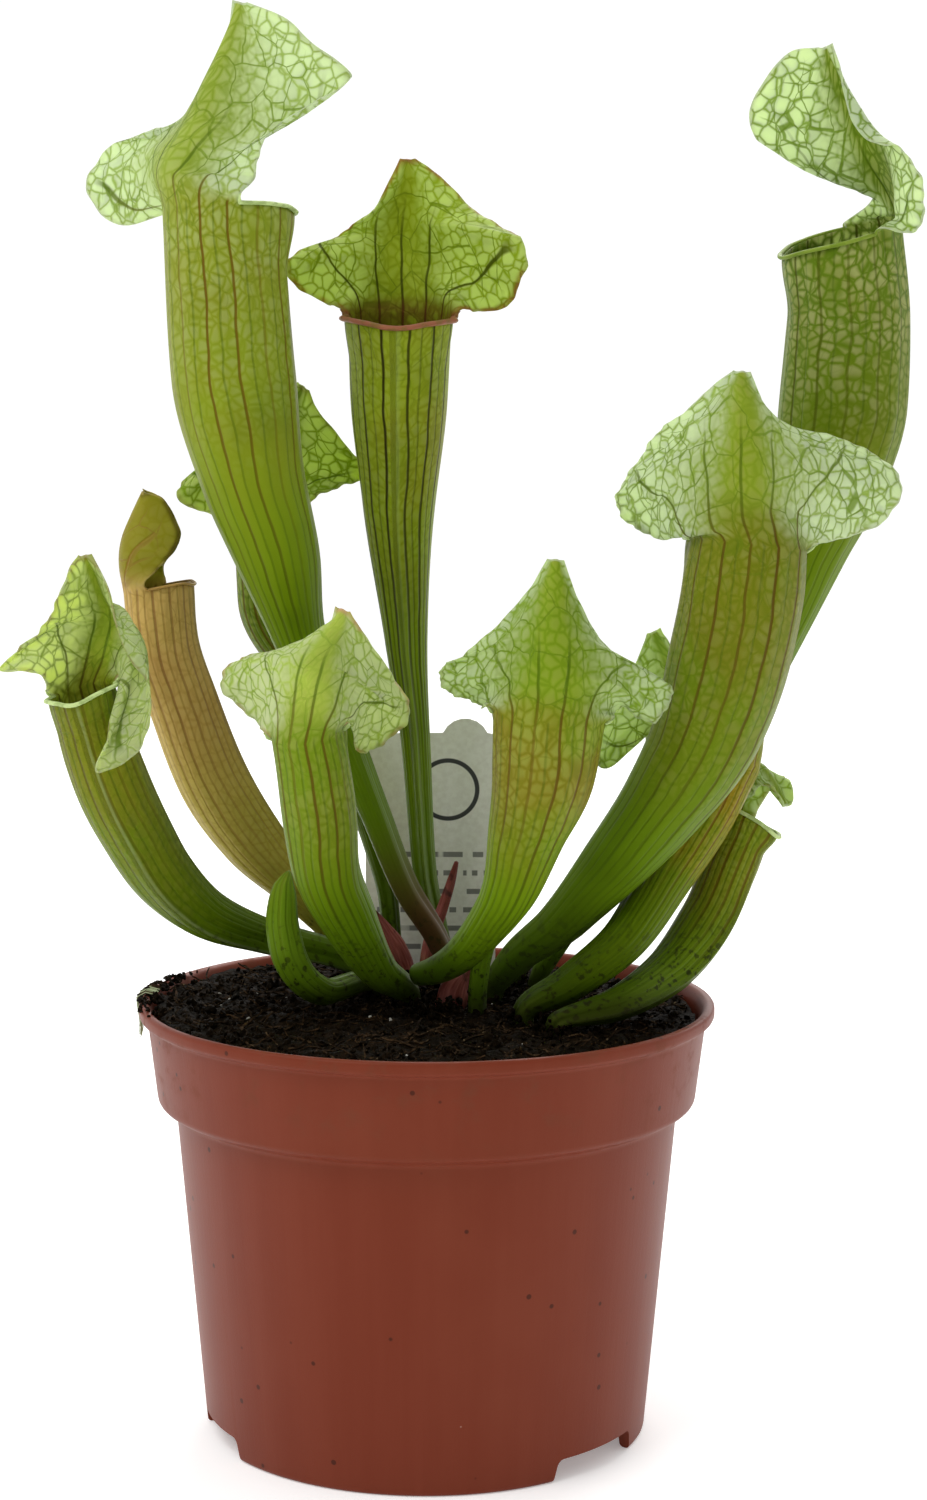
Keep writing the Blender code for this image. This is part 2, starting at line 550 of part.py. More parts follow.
def horn(name, spec, mat):
    """A solid tapering piece: a young leaf, a crown bud or a leaf's strip."""
    rings = horn_rings(spec, HORN_ROWS, HORN_SIDES)
    n = HORN_SIDES
    verts = [tuple(p) for p in rings.reshape(-1, 3)]
    faces = []
    for row in range(len(HORN_ROWS) - 1):
        faces += halves(ring_faces(n * row, n * (row + 1), n))
    foot, tip = len(verts), len(verts) + 1
    verts.append(tuple(rings[0].mean(axis=0)))
    last = rings[-1].mean(axis=0)
    verts.append(tuple(last + 0.35 * (last - rings[-2].mean(axis=0))))
    base = n * (len(HORN_ROWS) - 1)
    for i in range(n):
        faces.append((foot, (i + 1) % n, i))
        faces.append((tip, base + i, base + (i + 1) % n))
    return mesh_object(name, verts, faces, mat)


def lathe(name, profile, segments, mat, smooth_angle=30):
    """Turn a closed profile of (radius, height) about +Z; radius 0 closes the middle."""
    verts, faces, rings = [], [], []
    for radius, height in profile:
        if radius <= 0:
            rings.append([len(verts)] * segments)
            verts.append((0.0, 0.0, height))
            continue
        rings.append(list(range(len(verts), len(verts) + segments)))
        for i in range(segments):
            a = 2 * math.pi * i / segments
            verts.append((radius * math.cos(a), radius * math.sin(a), height))
    for a, b in zip(rings, rings[1:]):
        for i in range(segments):
            j = (i + 1) % segments
            corners = [a[i], a[j], b[j], b[i]]
            face = [c for k, c in enumerate(corners) if c not in corners[:k]]
            if len(face) > 2:
                faces.append(tuple(face))
    return mesh_object(name, verts, faces, mat, smooth_angle)


def cylinder(name, x, y, z0, z1, radius, sides):
    bpy.ops.mesh.primitive_cylinder_add(
        vertices=sides, radius=radius * MM, depth=(z1 - z0) * MM,
        location=(x * MM, y * MM, (z0 + z1) / 2 * MM))
    obj = bpy.context.active_object
    obj.name = name
    obj.hide_render = True
    obj.display_type = "WIRE"
    return obj


def box(name, low, high):
    bpy.ops.mesh.primitive_cube_add(
        size=1.0, location=[(a + b) / 2 * MM for a, b in zip(low, high)])
    obj = bpy.context.active_object
    obj.name = name
    obj.scale = [(b - a) * MM for a, b in zip(low, high)]
    bpy.ops.object.transform_apply(location=False, rotation=False, scale=True)
    obj.hide_render = True
    obj.display_type = "WIRE"
    return obj


def boolean(obj, cutter, operation="DIFFERENCE", solver="EXACT"):
    mod = obj.modifiers.new(cutter.name, "BOOLEAN")
    mod.operation = operation
    mod.solver = solver
    mod.use_self = solver == "EXACT" and cutter.name == "soil_cuts"
    mod.object = cutter
    return mod


def join_into_one(name, pieces):
    """Put several separate closed pieces in one object, to cut with them all at once."""
    bpy.ops.object.select_all(action="DESELECT")
    for piece in pieces:
        piece.select_set(True)
    bpy.context.view_layer.objects.active = pieces[0]
    bpy.ops.object.join()
    pieces[0].name = name
    pieces[0].hide_render = True
    pieces[0].display_type = "WIRE"
    return pieces[0]


def make_pot(mat):
    rim_low = POT_H - RIM_BEAD
    floor_under = POT_FLOOR_Z - WALL
    inner_foot = POT_FOOT_R - WALL - 0.3
    profile = [
        (0.0, 0.0), (PAD_R, 0.0), (PAD_R + 0.8, floor_under),
        (inner_foot - 1.0, floor_under), (inner_foot - 0.8, 0.0),
        (POT_FOOT_R - 0.4, 0.0), (POT_FOOT_R, 0.5), (POT_NECK_R, BAND_Z - 1.6),
        (BAND_R, BAND_Z), (BAND_R + 0.35, BAND_Z + 1.0), (BAND_TOP_R, rim_low - 0.8),
        (POT_RIM_R - 0.7, rim_low), (POT_RIM_R, rim_low + 0.7),
        (POT_RIM_R, POT_H - 0.6), (POT_RIM_R - 0.7, POT_H), (POT_RIM_R - 1.6, POT_H),
        (BAND_TOP_R - WALL, POT_H - 1.6), (BAND_R - WALL + 0.3, BAND_Z + 1.0),
        (POT_NECK_R - WALL, BAND_Z - 1.0), (inner_foot + 0.4, POT_FLOOR_Z + 0.6),
        (inner_foot - 0.2, POT_FLOOR_Z), (0.0, POT_FLOOR_Z),
    ]
    pot = lathe("pot", profile, POT_SIDES, mat)
    cuts = []
    for turn in CUTOUT_TURNS:
        lo = math.radians(turn - CUTOUT_SPAN / 2)
        hi = math.radians(turn + CUTOUT_SPAN / 2)
        steps = 6
        verts, faces = [], []
        for radius in (inner_foot - 3.0, POT_FOOT_R + 3.0):
            for z in (-1.0, CUTOUT_H - 1.0):
                for k in range(steps + 1):
                    a = lo + (hi - lo) * k / steps
                    if z > 0:
                        a = lo + (hi - lo) * (0.08 + 0.84 * k / steps)
                    verts.append((radius * math.sin(a), -radius * math.cos(a), z))
        w = steps + 1
        for k in range(steps):
            faces.append((k, k + 1, w + k + 1, w + k))
            faces.append((2 * w + k, 3 * w + k, 3 * w + k + 1, 2 * w + k + 1))
            faces.append((k, 2 * w + k, 2 * w + k + 1, k + 1))
            faces.append((w + k, w + k + 1, 3 * w + k + 1, 3 * w + k))
        for k in (0, steps):
            faces.append((k, w + k, 3 * w + k, 2 * w + k))
        cuts.append(mesh_object("cutout", verts, faces, mat))
    for k in range(DRAINS):
        a = 2 * math.pi * (k + 0.5) / DRAINS
        cuts.append(cylinder("drain", DRAIN_RING_R * math.cos(a), DRAIN_RING_R * math.sin(a),
                             floor_under - 2, POT_FLOOR_Z + 2, DRAIN_R, 16))
    boolean(pot, join_into_one("pot_cuts", cuts))
    return pot


def soil_height(x, y):
    """Peat surface: a low mound round the crown with lumps on it."""
    mound = SOIL_MOUND * math.exp(-((x - 4) ** 2 + (y - 12) ** 2) / 400.0)
    lumps = (math.sin(0.31 * x + 1.3) * math.cos(0.27 * y - 0.4)
             + 0.6 * math.sin(0.53 * x - 0.61 * y + 2.0)
             + 0.4 * math.cos(0.83 * x + 0.47 * y))
    return SOIL_Z + mound + SOIL_ROUGH * 0.5 * lumps


def make_soil(mat):
    inner_foot = POT_FOOT_R - WALL - 0.3
    floor_z = POT_FLOOR_Z + GAP
    gap = GAP + SOIL_SHRINK
    wall = ((inner_foot - 0.6 - gap, floor_z), (inner_foot + 0.2 - gap, floor_z + 0.9),
            (POT_NECK_R - WALL - gap, BAND_Z - 1.1),
            (BAND_R - WALL - gap, BAND_Z + 1.2), (BAND_TOP_R - WALL - 0.6 - gap, SOIL_Z - 3.0))
    segments, rings = 40, 9
    verts, faces, starts = [], [], []
    for radius, z in wall:
        starts.append(len(verts))
        for i in range(segments):
            a = 2 * math.pi * i / segments
            verts.append((radius * math.cos(a), radius * math.sin(a), z))
    top_r = wall[-1][0] + 0.15
    draws = random.Random(SEED)
    for ring in range(rings):
        starts.append(len(verts))
        share = 1 - ring / rings
        for i in range(segments):
            a = 2 * math.pi * (i + 0.5 * (ring % 2)) / segments
            r = top_r * share if ring else top_r
            x, y = r * math.cos(a), r * math.sin(a)
            z = soil_height(x, y) + draws.uniform(-0.35, 0.35)
            if ring == 0:
                z = SOIL_Z + 0.6 + SOIL_EDGE_RISE * max(0.0, math.cos(a - SOIL_EDGE_TURN))
            verts.append((x, y, z))
    for a, b in zip(starts, starts[1:]):
        faces += halves(ring_faces(a, b, segments))
    top, bottom = len(verts), len(verts) + 1
    verts.append((0.0, 0.0, soil_height(0.0, 0.0)))
    verts.append((0.0, 0.0, floor_z))
    for i in range(segments):
        faces.append((top, starts[-1] + i, starts[-1] + (i + 1) % segments))
        faces.append((bottom, starts[0] + (i + 1) % segments, starts[0] + i))
    soil = mesh_object("soil", verts, faces, mat, 50)
    cuts = []
    for name, leaf in list(LEAVES.items()) + list(HORNS.items()) + [("leg", FRONT_LEG)]:
        x, y, z, r = leaf["spine"][0]
        if z > STEM_Z:
            continue
        cuts.append(cylinder("hole", x, y, HOLE_Z, SOIL_Z + 9, r + 2.4 * GAP + 0.35, 14))
    slit = LABEL_T / 2 + GAP
    cuts.append(box("slit", (LABEL_X - LABEL_W / 2 - GAP, LABEL_Y - slit, LABEL_BOTTOM_Z - GAP),
                    (LABEL_X + LABEL_W / 2 + GAP, LABEL_Y + slit, SOIL_Z + 9)))
    boolean(soil, join_into_one("soil_cuts", cuts))
    return soil


def make_label(mat):
    """A flat card with rounded corners and an ear over its top edge."""
    outline = []
    half = LABEL_W / 2

    def corner(cx, cz, start, stop, radius, steps=4):
        for k in range(steps + 1):
            a = math.radians(start + (stop - start) * k / steps)
            outline.append((cx + radius * math.cos(a), cz + radius * math.sin(a)))

    c = LABEL_CORNER
    corner(half - c, LABEL_BOTTOM_Z + c, -90, 0, c)
    corner(half - c * 0.4, LABEL_TOP_Z - c * 0.4, 0, 90, c * 0.4)
    corner(LABEL_EAR_X, LABEL_TOP_Z - 2.0, 24, 156, LABEL_EAR_R * 0.72, 7)
    corner(-half + c, LABEL_TOP_Z - c, 90, 180, c)
    corner(-half + c, LABEL_BOTTOM_Z + c, 180, 270, c)
    verts, faces, n = [], [], len(outline)
    for y in (LABEL_Y - LABEL_T / 2, LABEL_Y + LABEL_T / 2):
        verts += [(LABEL_X + x, y, z) for x, z in outline]
    faces += [tuple(range(n)), tuple(range(2 * n - 1, n - 1, -1))]
    faces += [(i, n + i, n + (i + 1) % n, (i + 1) % n) for i in range(n)]
    return mesh_object("label", verts, faces, mat, 30)


def main():
    clear_scene()
    plastic = material("pot_plastic", COLOURS["pot"], 0.45)
    peat = material("peat", COLOURS["soil"], 0.95)
    card = material("label_plastic", COLOURS["label"], 0.5)
    make_pot(plastic)
    make_soil(peat)
    make_label(card)
    for name, leaf in LEAVES.items():
        tint = COLOURS["brown"] if name == "pitcher_brown" else COLOURS["leaf"]
        skin = material(name + "_leaf", tint, 0.5)
        obj = pitcher(name, leaf, skin)
        if name == "pitcher_front":
            leg = horn("front_leg", FRONT_LEG, skin)
            leg.hide_render = True
            leg.display_type = "WIRE"
            boolean(obj, leg, "UNION")
    for name, spec in HORNS.items():
        tint = COLOURS["leaf"] if name == "pitcher_closed" else COLOURS["bud"]
        horn(name, spec, material(name + "_leaf", tint, 0.5))


main()
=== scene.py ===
# %% [markdown]
# # A potted trumpet pitcher plant
#
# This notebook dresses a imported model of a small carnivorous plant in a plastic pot.
# The solids give every piece its place and size. Here each leaf is made again with a
# finer mesh of the same form, and gets its skin: veins, a net of pale windows, and
# light that comes through the thin hoods.

# %% Load the frame
import math
import random

import bmesh
import bpy
import numpy as np
from mathutils import Euler, Matrix, Vector, noise


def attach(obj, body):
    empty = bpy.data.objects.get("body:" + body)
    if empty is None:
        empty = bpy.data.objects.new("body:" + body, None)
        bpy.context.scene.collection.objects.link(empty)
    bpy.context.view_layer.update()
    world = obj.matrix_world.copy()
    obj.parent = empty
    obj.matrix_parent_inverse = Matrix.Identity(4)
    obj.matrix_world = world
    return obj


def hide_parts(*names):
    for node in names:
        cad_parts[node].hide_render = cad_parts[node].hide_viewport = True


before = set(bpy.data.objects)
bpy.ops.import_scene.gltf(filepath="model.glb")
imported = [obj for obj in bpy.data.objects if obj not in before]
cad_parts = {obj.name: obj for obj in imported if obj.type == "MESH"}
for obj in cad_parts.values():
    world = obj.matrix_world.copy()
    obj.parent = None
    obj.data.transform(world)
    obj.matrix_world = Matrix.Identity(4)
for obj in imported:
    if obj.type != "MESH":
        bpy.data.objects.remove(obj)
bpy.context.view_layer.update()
MM = 0.001


def place_object(name, data):
    thing = bpy.data.objects.new(name, data)
    bpy.context.scene.collection.objects.link(thing)
    return thing


# %% [markdown]
# ## The camera
#
# The photograph was taken a little above the rim of the pot, from 60 cm away. The
# lens is a short telephoto, so the pot's sides hardly converge.

# %% Camera
CAMERA_PLACE = (0.00742, -0.5999, 0.2154)
CAMERA_DOWN, CAMERA_ROLL = 6.88, 0.22      # degrees below level, and about its own axis
LENS, SENSOR = 70.0, 36.0
camera_data = bpy.data.cameras.new("camera")
camera_data.lens, camera_data.sensor_width, camera_data.clip_start = LENS, SENSOR, 0.01
camera = place_object("camera", camera_data)
camera.matrix_world = (Matrix.Translation(CAMERA_PLACE)
                       @ Matrix.Rotation(math.radians(90 - CAMERA_DOWN), 4, "X")
                       @ Matrix.Rotation(math.radians(CAMERA_ROLL), 4, "Z"))
bpy.context.scene.camera = camera

# %% [markdown]
# ## Shader maths as Python
#
# A leaf's colour is a sum of many small rules. Written as nodes they would be hard to
# read, so a small class wraps a socket and turns Python's operators into Math nodes.

# %% Finish: a material written as expressions


def linear(c):
    """A colour channel as seen on a screen, 0 to 255, as Blender's linear value."""
    c /= 255
    return c / 12.92 if c <= 0.04045 else ((c + 0.055) / 1.055) ** 2.4


class Wire:
    """A value that a node gives, with Python's operators as Math nodes."""

    def __init__(self, finish, socket):
        self.finish, self.socket = finish, socket

    def math(self, operation, *others):
        return self.finish.node("ShaderNodeMath", {"operation": operation}, self, *others)

    def __add__(self, other):
        return self.math("ADD", other)

    def __mul__(self, other):
        return self.math("MULTIPLY", other)

    def __sub__(self, other):
        return self.math("SUBTRACT", other)

    def __rsub__(self, other):
        return self.finish.node("ShaderNodeMath", {"operation": "SUBTRACT"}, other, self)

    def ramp(self, low, high):
        """0 at `low` and 1 at `high`, eased at both ends; low may be above high."""
        return self.finish.node("ShaderNodeMapRange", {"interpolation_type": "SMOOTHSTEP"},
                                self, low, high, 0.0, 1.0)

    def parts(self):
        """The three numbers of a vector or a colour."""
        first = self.finish.node("ShaderNodeSeparateXYZ", None, self)
        return [Wire(self.finish, socket) for socket in first.socket.node.outputs]


class Finish:
    """A procedural material, or a world, under construction."""

    def __init__(self, name, store=bpy.data.materials, kind="Material"):
        self.made = store.new(name)
        self.made.use_nodes = True
        self.tree = self.made.node_tree
        self.tree.nodes.clear()
        self.surface = self.tree.nodes.new("ShaderNodeOutput" + kind).inputs["Surface"]
        self.place = self.node("ShaderNodeTexCoord", out=3)

    def put(self, socket, value):
        """Link a wire, or set a constant. Colours are given as seen on a screen."""
        if isinstance(value, Wire):
            self.tree.links.new(value.socket, socket)
        elif value is not None:
            if socket.type == "RGBA":
                value = (*map(linear, value), 1.0)
            socket.default_value = value

    def node(self, kind, settings=None, *values, out=0, **named):
        node = self.tree.nodes.new(kind)
        for key, value in (settings or {}).items():
            setattr(node, key, value)
        for socket, value in zip(node.inputs, values):
            self.put(socket, value)
        for key, value in named.items():
            self.put(node.inputs[key.replace("_", " ")], value)
        return Wire(self, node.outputs[out])

    def join(self, x, y, z=0.0):
        return self.node("ShaderNodeCombineXYZ", None, x, y, z)

    def attribute(self, name):
        return self.node("ShaderNodeAttribute", {"attribute_name": name}, out=1).parts()

    def paint(self, colour, *coats):
        """Coats of colour laid over one another, each with its share."""
        for coat, share in coats:
            node = self.tree.nodes.new("ShaderNodeMix")
            node.data_type, node.clamp_factor = "RGBA", True
            for socket, value in zip((0, 6, 7), (share, colour, coat)):
                self.put(node.inputs[socket], value)
            colour = Wire(self, node.outputs[2])
        return colour

    def noise(self, vector, scale, detail=2.0, roughness=0.5, out=0):
        return self.node("ShaderNodeTexNoise", None, Vector=vector, Scale=scale,
                         Detail=detail, Roughness=roughness, out=out)

    def cells(self, vector, scale, feature="DISTANCE_TO_EDGE", out=0):
        return self.node("ShaderNodeTexVoronoi", {"feature": feature}, Vector=vector,
                         Scale=scale, out=out)

    def bump(self, height, strength, distance):
        return self.node("ShaderNodeBump", None, Height=height, Strength=strength,
                         Distance=distance)

    def principled(self, colour, roughness, normal=None, **constants):
        return self.node("ShaderNodeBsdfPrincipled", None, Base_Color=colour,
                         Roughness=roughness, Normal=normal, **constants)

    def done(self, surface, light=None, share=None):
        """What was made; a share of `light` may come through its surface."""
        if light:
            glow = self.node("ShaderNodeBsdfTranslucent", None, Color=light)
            surface = self.node("ShaderNodeMixShader", None, share, surface, glow)
        self.put(self.surface, surface)
        return self.made


# %% [markdown]
# ## The leaves' form
#
# A pitcher is one rolled leaf. Its tube is a row of rings along a curved spine, with
# a low ridge down the front where the leaf's edges have grown together. The back of
# the tube goes on upwards as the hood, drawn between a rib and two edges. The control
# points are those of the solids, with some hood edges drawn closer to the photo.

# %% Control points of the leaves, in millimetres
LEAVES = {
    "pitcher_centre": dict(
        spine=[(3, 34, 80, 2.3), (3, 34, 90, 2.3), (-1, 30, 113, 2.6), (-3, 27, 142, 3.2),
            (-5, 24, 164, 4.6), (-6.5, 20, 194, 7.8), (-6.5, 19, 215, 10.2),
            (-6.3, 18, 232, 10.8)],
        rib=[(-6, 30, 239), (-6, 32, 245), (-6, 34, 252), (-5.5, 33, 259), (-5, 31, 266)],
        left=[(-22.5, 21, 235), (-31.5, 18, 242), (-20, 26, 248.5), (-12, 30, 255.5),
            (-8.5, 31, 262)],
        right=[(10, 22, 233), (18, 20, 235), (20.5, 17, 247.5), (8.5, 29, 256), (1, 32, 263)],
        facing=-92, neck=88, tilt=4, wing=1.6, ripple=(0.8, 2.5), lip=0.8,
        nibs=[("left", 0.28, 0.02, 1.4), ("right", 0.52, 0.02, 1.6)]),
    "pitcher_tall_left": dict(
        spine=[(5, 20, 80, 2.1), (5, 20, 90, 2.1), (2, 18, 99, 2.2), (-5, 14, 111, 2.3),
            (-12, 10, 129, 2.7), (-19, 6, 147, 3.6), (-27, 3, 166, 5.2), (-31, 2, 182, 8.4),
            (-36.7, 2, 201, 10.8), (-39.9, 2, 219, 12.6), (-42, 2, 253.5, 12.1)],
        rib=[(-54, -3, 259), (-52.5, -4, 263), (-50, -5, 267), (-46.5, -6, 272.5),
            (-42.5, -6, 282), (-38, -5, 294)],
        left=[(-63.5, 20, 250.5), (-73.6, 24, 258.5), (-67, 22, 268), (-50, 6, 268.5),
            (-42.5, -2, 280), (-40, -5, 288)],
        right=[(-34.4, -9.6, 258), (-33.4, -10.3, 263), (-29.6, -11.5, 269.5), (-15, -13, 278.8),
            (-23, -11.5, 285.8), (-28.5, -9, 290.5)],
        facing=28, neck=82, tilt=3, wing=1.5, ripple=(0.3, 2.0), spout=1.6, slim=0.85,
        turned=0.6, nibs=[("right", 0.667, 0.02, 1.6)]),
    "pitcher_tall_right": dict(
        spine=[(18, 22, 80, 2.4), (18, 22, 90, 2.4), (32, 22, 103, 3.0), (47, 21, 119, 3.8),
            (57, 20, 136, 4.6), (64.5, 19, 147, 5.0), (71.5, 18, 162, 6.0), (80, 16, 185, 8.6),
            (84.5, 14, 200, 11.4), (86.5, 13, 214, 13.2), (87, 12, 231, 12.7),
            (86, 10, 249, 11.4)],
        rib=[(97, 11, 254), (95, 11, 259), (91, 10, 266), (86.5, 9, 275), (80.5, 6, 287)],
        left=[(92, 16, 257), (84, 17, 263.5), (67, 12, 269.5), (66.5, 8, 278.5), (73, 6, 286)],
        right=[(98, -3, 248.5), (100, -6, 255), (95.5, -3.5, 264.5), (86, 3, 271), (83.5, 5, 282)],
        facing=188, neck=76, tilt=12, wing=1.2, ripple=(0.7, 2.0)),
    "pitcher_right": dict(
        spine=[(14, 8, 80, 2.6), (14, 8, 90, 2.6), (18, 3, 98, 3.4), (27, -4, 107, 4.6),
            (38, -12, 121, 6.8), (48, -18, 135, 8.8), (56, -22, 150, 10.9), (60, -26, 166, 12.0),
            (62, -28, 178, 12.0), (63, -28, 187, 11.4)],
        rib=[(61, -39, 193), (61, -40, 199), (61, -40, 205), (61, -39, 210), (61, -36, 215.5),
            (61, -32, 221)],
        left=[(46, -22, 188), (39, -15, 190), (38.5, -13, 197), (43, -20, 207), (50.5, -28, 213),
            (55, -31, 218)],
        right=[(80, -24, 187), (91, -17, 190), (95, -16, 200), (86, -22, 206.5), (69, -30, 210),
            (65, -32, 215.5)],
        facing=92, neck=92, tilt=3, wing=1.6, ripple=(1.0, 3.0)),
    "pitcher_front": dict(
        spine=[(-2, -1.5, 96, 2.3), (1.5, -5, 97.5, 2.9), (7, -11, 102, 3.6),
            (12, -18, 109, 4.3), (17, -27, 119, 5.7), (20, -33, 131, 7.7), (23, -37, 143, 10.0),
            (24, -38, 154, 10.8)],
        rib=[(24, -48, 159), (24, -48, 163.5), (24, -47, 168), (24.3, -45, 174), (25, -39, 185)],
        left=[(10.8, -32.5, 155), (5.6, -27.5, 157), (1.6, -26, 161.8), (10, -33, 167.5),
            (19, -38, 178)],
        right=[(38.2, -34.5, 155), (45.5, -34.5, 152.7), (48.7, -36, 159), (38, -36.5, 165),
            (30, -39, 176)],
        facing=88, neck=90, tilt=3, wing=1.4, ripple=(0.9, 3.0)),
    "pitcher_front_left": dict(
        spine=[(-4, 2, 80, 2.7), (-4, 2, 90, 2.7), (-10, -7, 98, 4.0), (-16, -17, 111, 5.8),
            (-20, -26, 123, 6.8), (-21, -31, 135, 7.4), (-22, -34, 144, 7.2),
            (-23, -35, 150, 7.0)],
        rib=[(-22, -43, 157), (-21, -44, 162), (-20, -44, 166), (-18, -41, 170), (-16, -37, 175)],
        left=[(-34, -29, 151), (-40.5, -25, 158), (-37, -26, 165), (-24.5, -34, 167.5),
            (-19, -37, 171.5)],
        right=[(-14.5, -26, 146.2), (-9.5, -22, 144.6), (-3.2, -22, 153.3), (-7, -30, 163.2),
            (-12.5, -35.5, 170.8)],
        facing=84, neck=96, tilt=2, wing=1.4, ripple=(0.9, 2.5)),
    "pitcher_left": dict(
        spine=[(-12, 17, 80, 2.3), (-12, 17, 91.5, 2.3), (-18, 12, 97, 2.8),
            (-35, 3, 103.5, 3.8), (-45.5, -6, 109.5, 5.2), (-53.7, -12, 118.5, 6.6),
            (-59, -16, 128.5, 7.2), (-63, -19, 138, 7.5), (-66.3, -20, 148, 7.2),
            (-68.5, -20, 157, 6.2)],
        rib=[(-66, -13.5, 163), (-65.5, -12, 166), (-65, -10, 169), (-65, -9, 172),
            (-66, -9, 175.5), (-69, -12, 184)],
        left=[(-77, -23, 160), (-85, -25, 161), (-80.5, -22, 165.5), (-76.5, -19, 171),
            (-73.5, -16, 177), (-71.5, -14, 182)],
        right=[(-62, -29, 152), (-65.5, -33, 140.5), (-56, -32, 146), (-54.3, -28, 157),
            (-60.5, -21, 166), (-64.5, -14, 178)],
        facing=-98, neck=84, tilt=6, wing=1.3, ripple=(0.5, 2.0)),
    "pitcher_brown": dict(
        spine=[(-13, 30, 80, 2.2), (-13, 30, 90, 2.2), (-20, 26, 100, 3.4), (-28, 21, 110, 4.6),
            (-38, 18, 121.5, 6.6), (-46, 14, 135, 7.3), (-51.5, 10, 151, 7.2),
            (-55.5, 8, 165, 7.2), (-56.5, 8, 176, 7.2)],
        rib=[(-64.5, 8, 181), (-64, 8, 186), (-62, 8, 191), (-59.5, 7, 196)],
        left=[(-55.5, 14.5, 180), (-52.5, 13, 184), (-52, 11, 189), (-55.5, 8, 195)],
        right=[(-55.5, 1.5, 180), (-52, 3, 184), (-51.5, 5, 189), (-55, 6, 195)],
        facing=-8, neck=88, tilt=-6, wing=1.0, ripple=(0.3, 1.0), spout=-0.5, flare=0.4, lip=0.4),
    "pitcher_back_left": dict(
        spine=[(-8, 36, 80, 2.0), (-8, 36, 90, 2.0), (-9, 33, 106, 2.2), (-12, 31, 119, 2.6),
            (-18, 30, 137, 3.6), (-27, 30, 155, 4.8), (-35.5, 30, 172, 6.0),
            (-35.5, 29, 187, 6.6)],
        rib=[(-38, 37, 193), (-37, 37, 199), (-34, 36, 206), (-31, 33, 212), (-27, 29, 218)],
        left=[(-48, 34, 190), (-55, 32, 193), (-53, 34, 198), (-43, 36, 203), (-32, 32, 213)],
        right=[(-26, 28, 192), (-20, 27, 196), (-13, 31, 199.3), (-18, 29.5, 206), (-24, 28, 213)],
        facing=-70, neck=86, tilt=6, wing=1.2, ripple=(0.5, 2.0)),
    "pitcher_behind": dict(
        spine=[(23, 10.4, 80, 1.9), (23, 10.4, 90, 1.9), (28, 10.4, 101, 2.3),
            (37, 10, 113, 3.2), (45, 9.7, 126, 4.2), (50.3, 9.6, 137, 4.9), (51.8, 9.5, 144, 5.0)],
        rib=[(53.3, 3, 150), (52.3, 2, 154), (50.8, 3, 159), (49, 5, 163.5), (47, 6, 167.5)],
        left=[(38, 4, 138.5), (33.5, 3, 143.5), (37, 4, 150), (42, 5, 158), (44.5, 6, 164)],
        right=[(54.8, 11.3, 148), (55.7, 11.3, 152), (53.8, 9.2, 158), (51.4, 8, 163),
            (49.5, 7, 166)],
        facing=120, neck=88, tilt=4, wing=0.8, ripple=(0.4, 1.5)),
    "pitcher_low_inner": dict(
        spine=[(20, -15, 80, 2.4), (20, -15, 90, 2.0), (29, -14, 96, 3.3),
            (39.5, -14, 104.5, 4.2), (50, -5, 118, 5.3), (58, 0, 131, 6.4), (63, 2.5, 141, 6.5)],
        rib=[(69.8, 0, 147), (70.3, 0, 151), (70.6, 0, 155), (70.5, 0, 159)],
        left=[(62, 9, 144), (60.5, 8, 149), (62, 6, 154), (67, 2, 158)],
        right=[(64, -6, 145), (63, -7, 149), (65, -6, 154), (68.5, -2, 158)],
        facing=160, neck=88, tilt=2, wing=1.3, ripple=(0.4, 1.5)),
    "pitcher_low_outer": dict(
        spine=[(26, -22, 80, 2.2), (26, -22, 90, 1.8), (38, -18, 93, 3.4), (49, -7, 97.3, 4.8),
            (58.5, 3, 107, 5.7), (64, 8, 118, 5.7), (68, 10, 127.5, 5.2)],
        rib=[(65, 14, 134.5), (67, 14, 138.5), (71, 12, 138.5), (75.7, 8, 130.5)],
        left=[(68, 8.5, 132), (69.5, 7, 134.5), (72.5, 6, 134.5), (74.5, 6.3, 132)],
        right=[(73, 16, 132.5), (75, 15, 135.5), (77, 12, 135), (77.3, 9.8, 132)],
        facing=-35, neck=66, tilt=8, wing=1.2, ripple=(0.3, 1.5)),
}

# %% Control points of the solid buds and of the leaf that is still closed
HORNS = {
    "pitcher_closed": dict(
        spine=[(-10, 11.5, 80, 2.1), (-10, 11.5, 91.5, 2.1), (-14, 4, 93.4, 2.6),
            (-20, -6, 93.2, 2.9), (-25, -11, 96.5, 3.3), (-28.5, -13, 103.5, 3.7),
            (-29.5, -13, 110, 3.4), (-29.2, -12, 115.5, 2.6), (-28.2, -11, 119, 0.7)],
        facing=90, flat=0.85, wing=0.9),
    "bud_thin": dict(
        spine=[(-0.4, 26.8, 80, 1.8), (-0.4, 26.8, 91, 1.8), (0.2, 26.8, 97, 1.6),
            (2.6, 26.5, 104, 1.3), (4.8, 25.6, 111, 1.0), (6.0, 25, 115.5, 0.5)],
        facing=-90, flat=0.8, wing=0.3),
    "bud_left": dict(
        spine=[(-5.5, 22, 80, 2.4), (-5.5, 22, 92, 2.6), (-7, 21, 97, 2.5), (-9.5, 20, 102, 1.4),
            (-12, 19, 106, 0.5)],
        facing=-90, flat=0.7, wing=0.3),
    "bud_front": dict(
        spine=[(5, -2.5, 80, 3.0), (5, -2.5, 89, 3.4), (5.6, -2, 92.5, 3.2),
            (7.4, -1.2, 95.6, 1.7), (8.8, -0.6, 97.6, 0.5)],
        facing=-90, flat=0.6, wing=0.3),
}
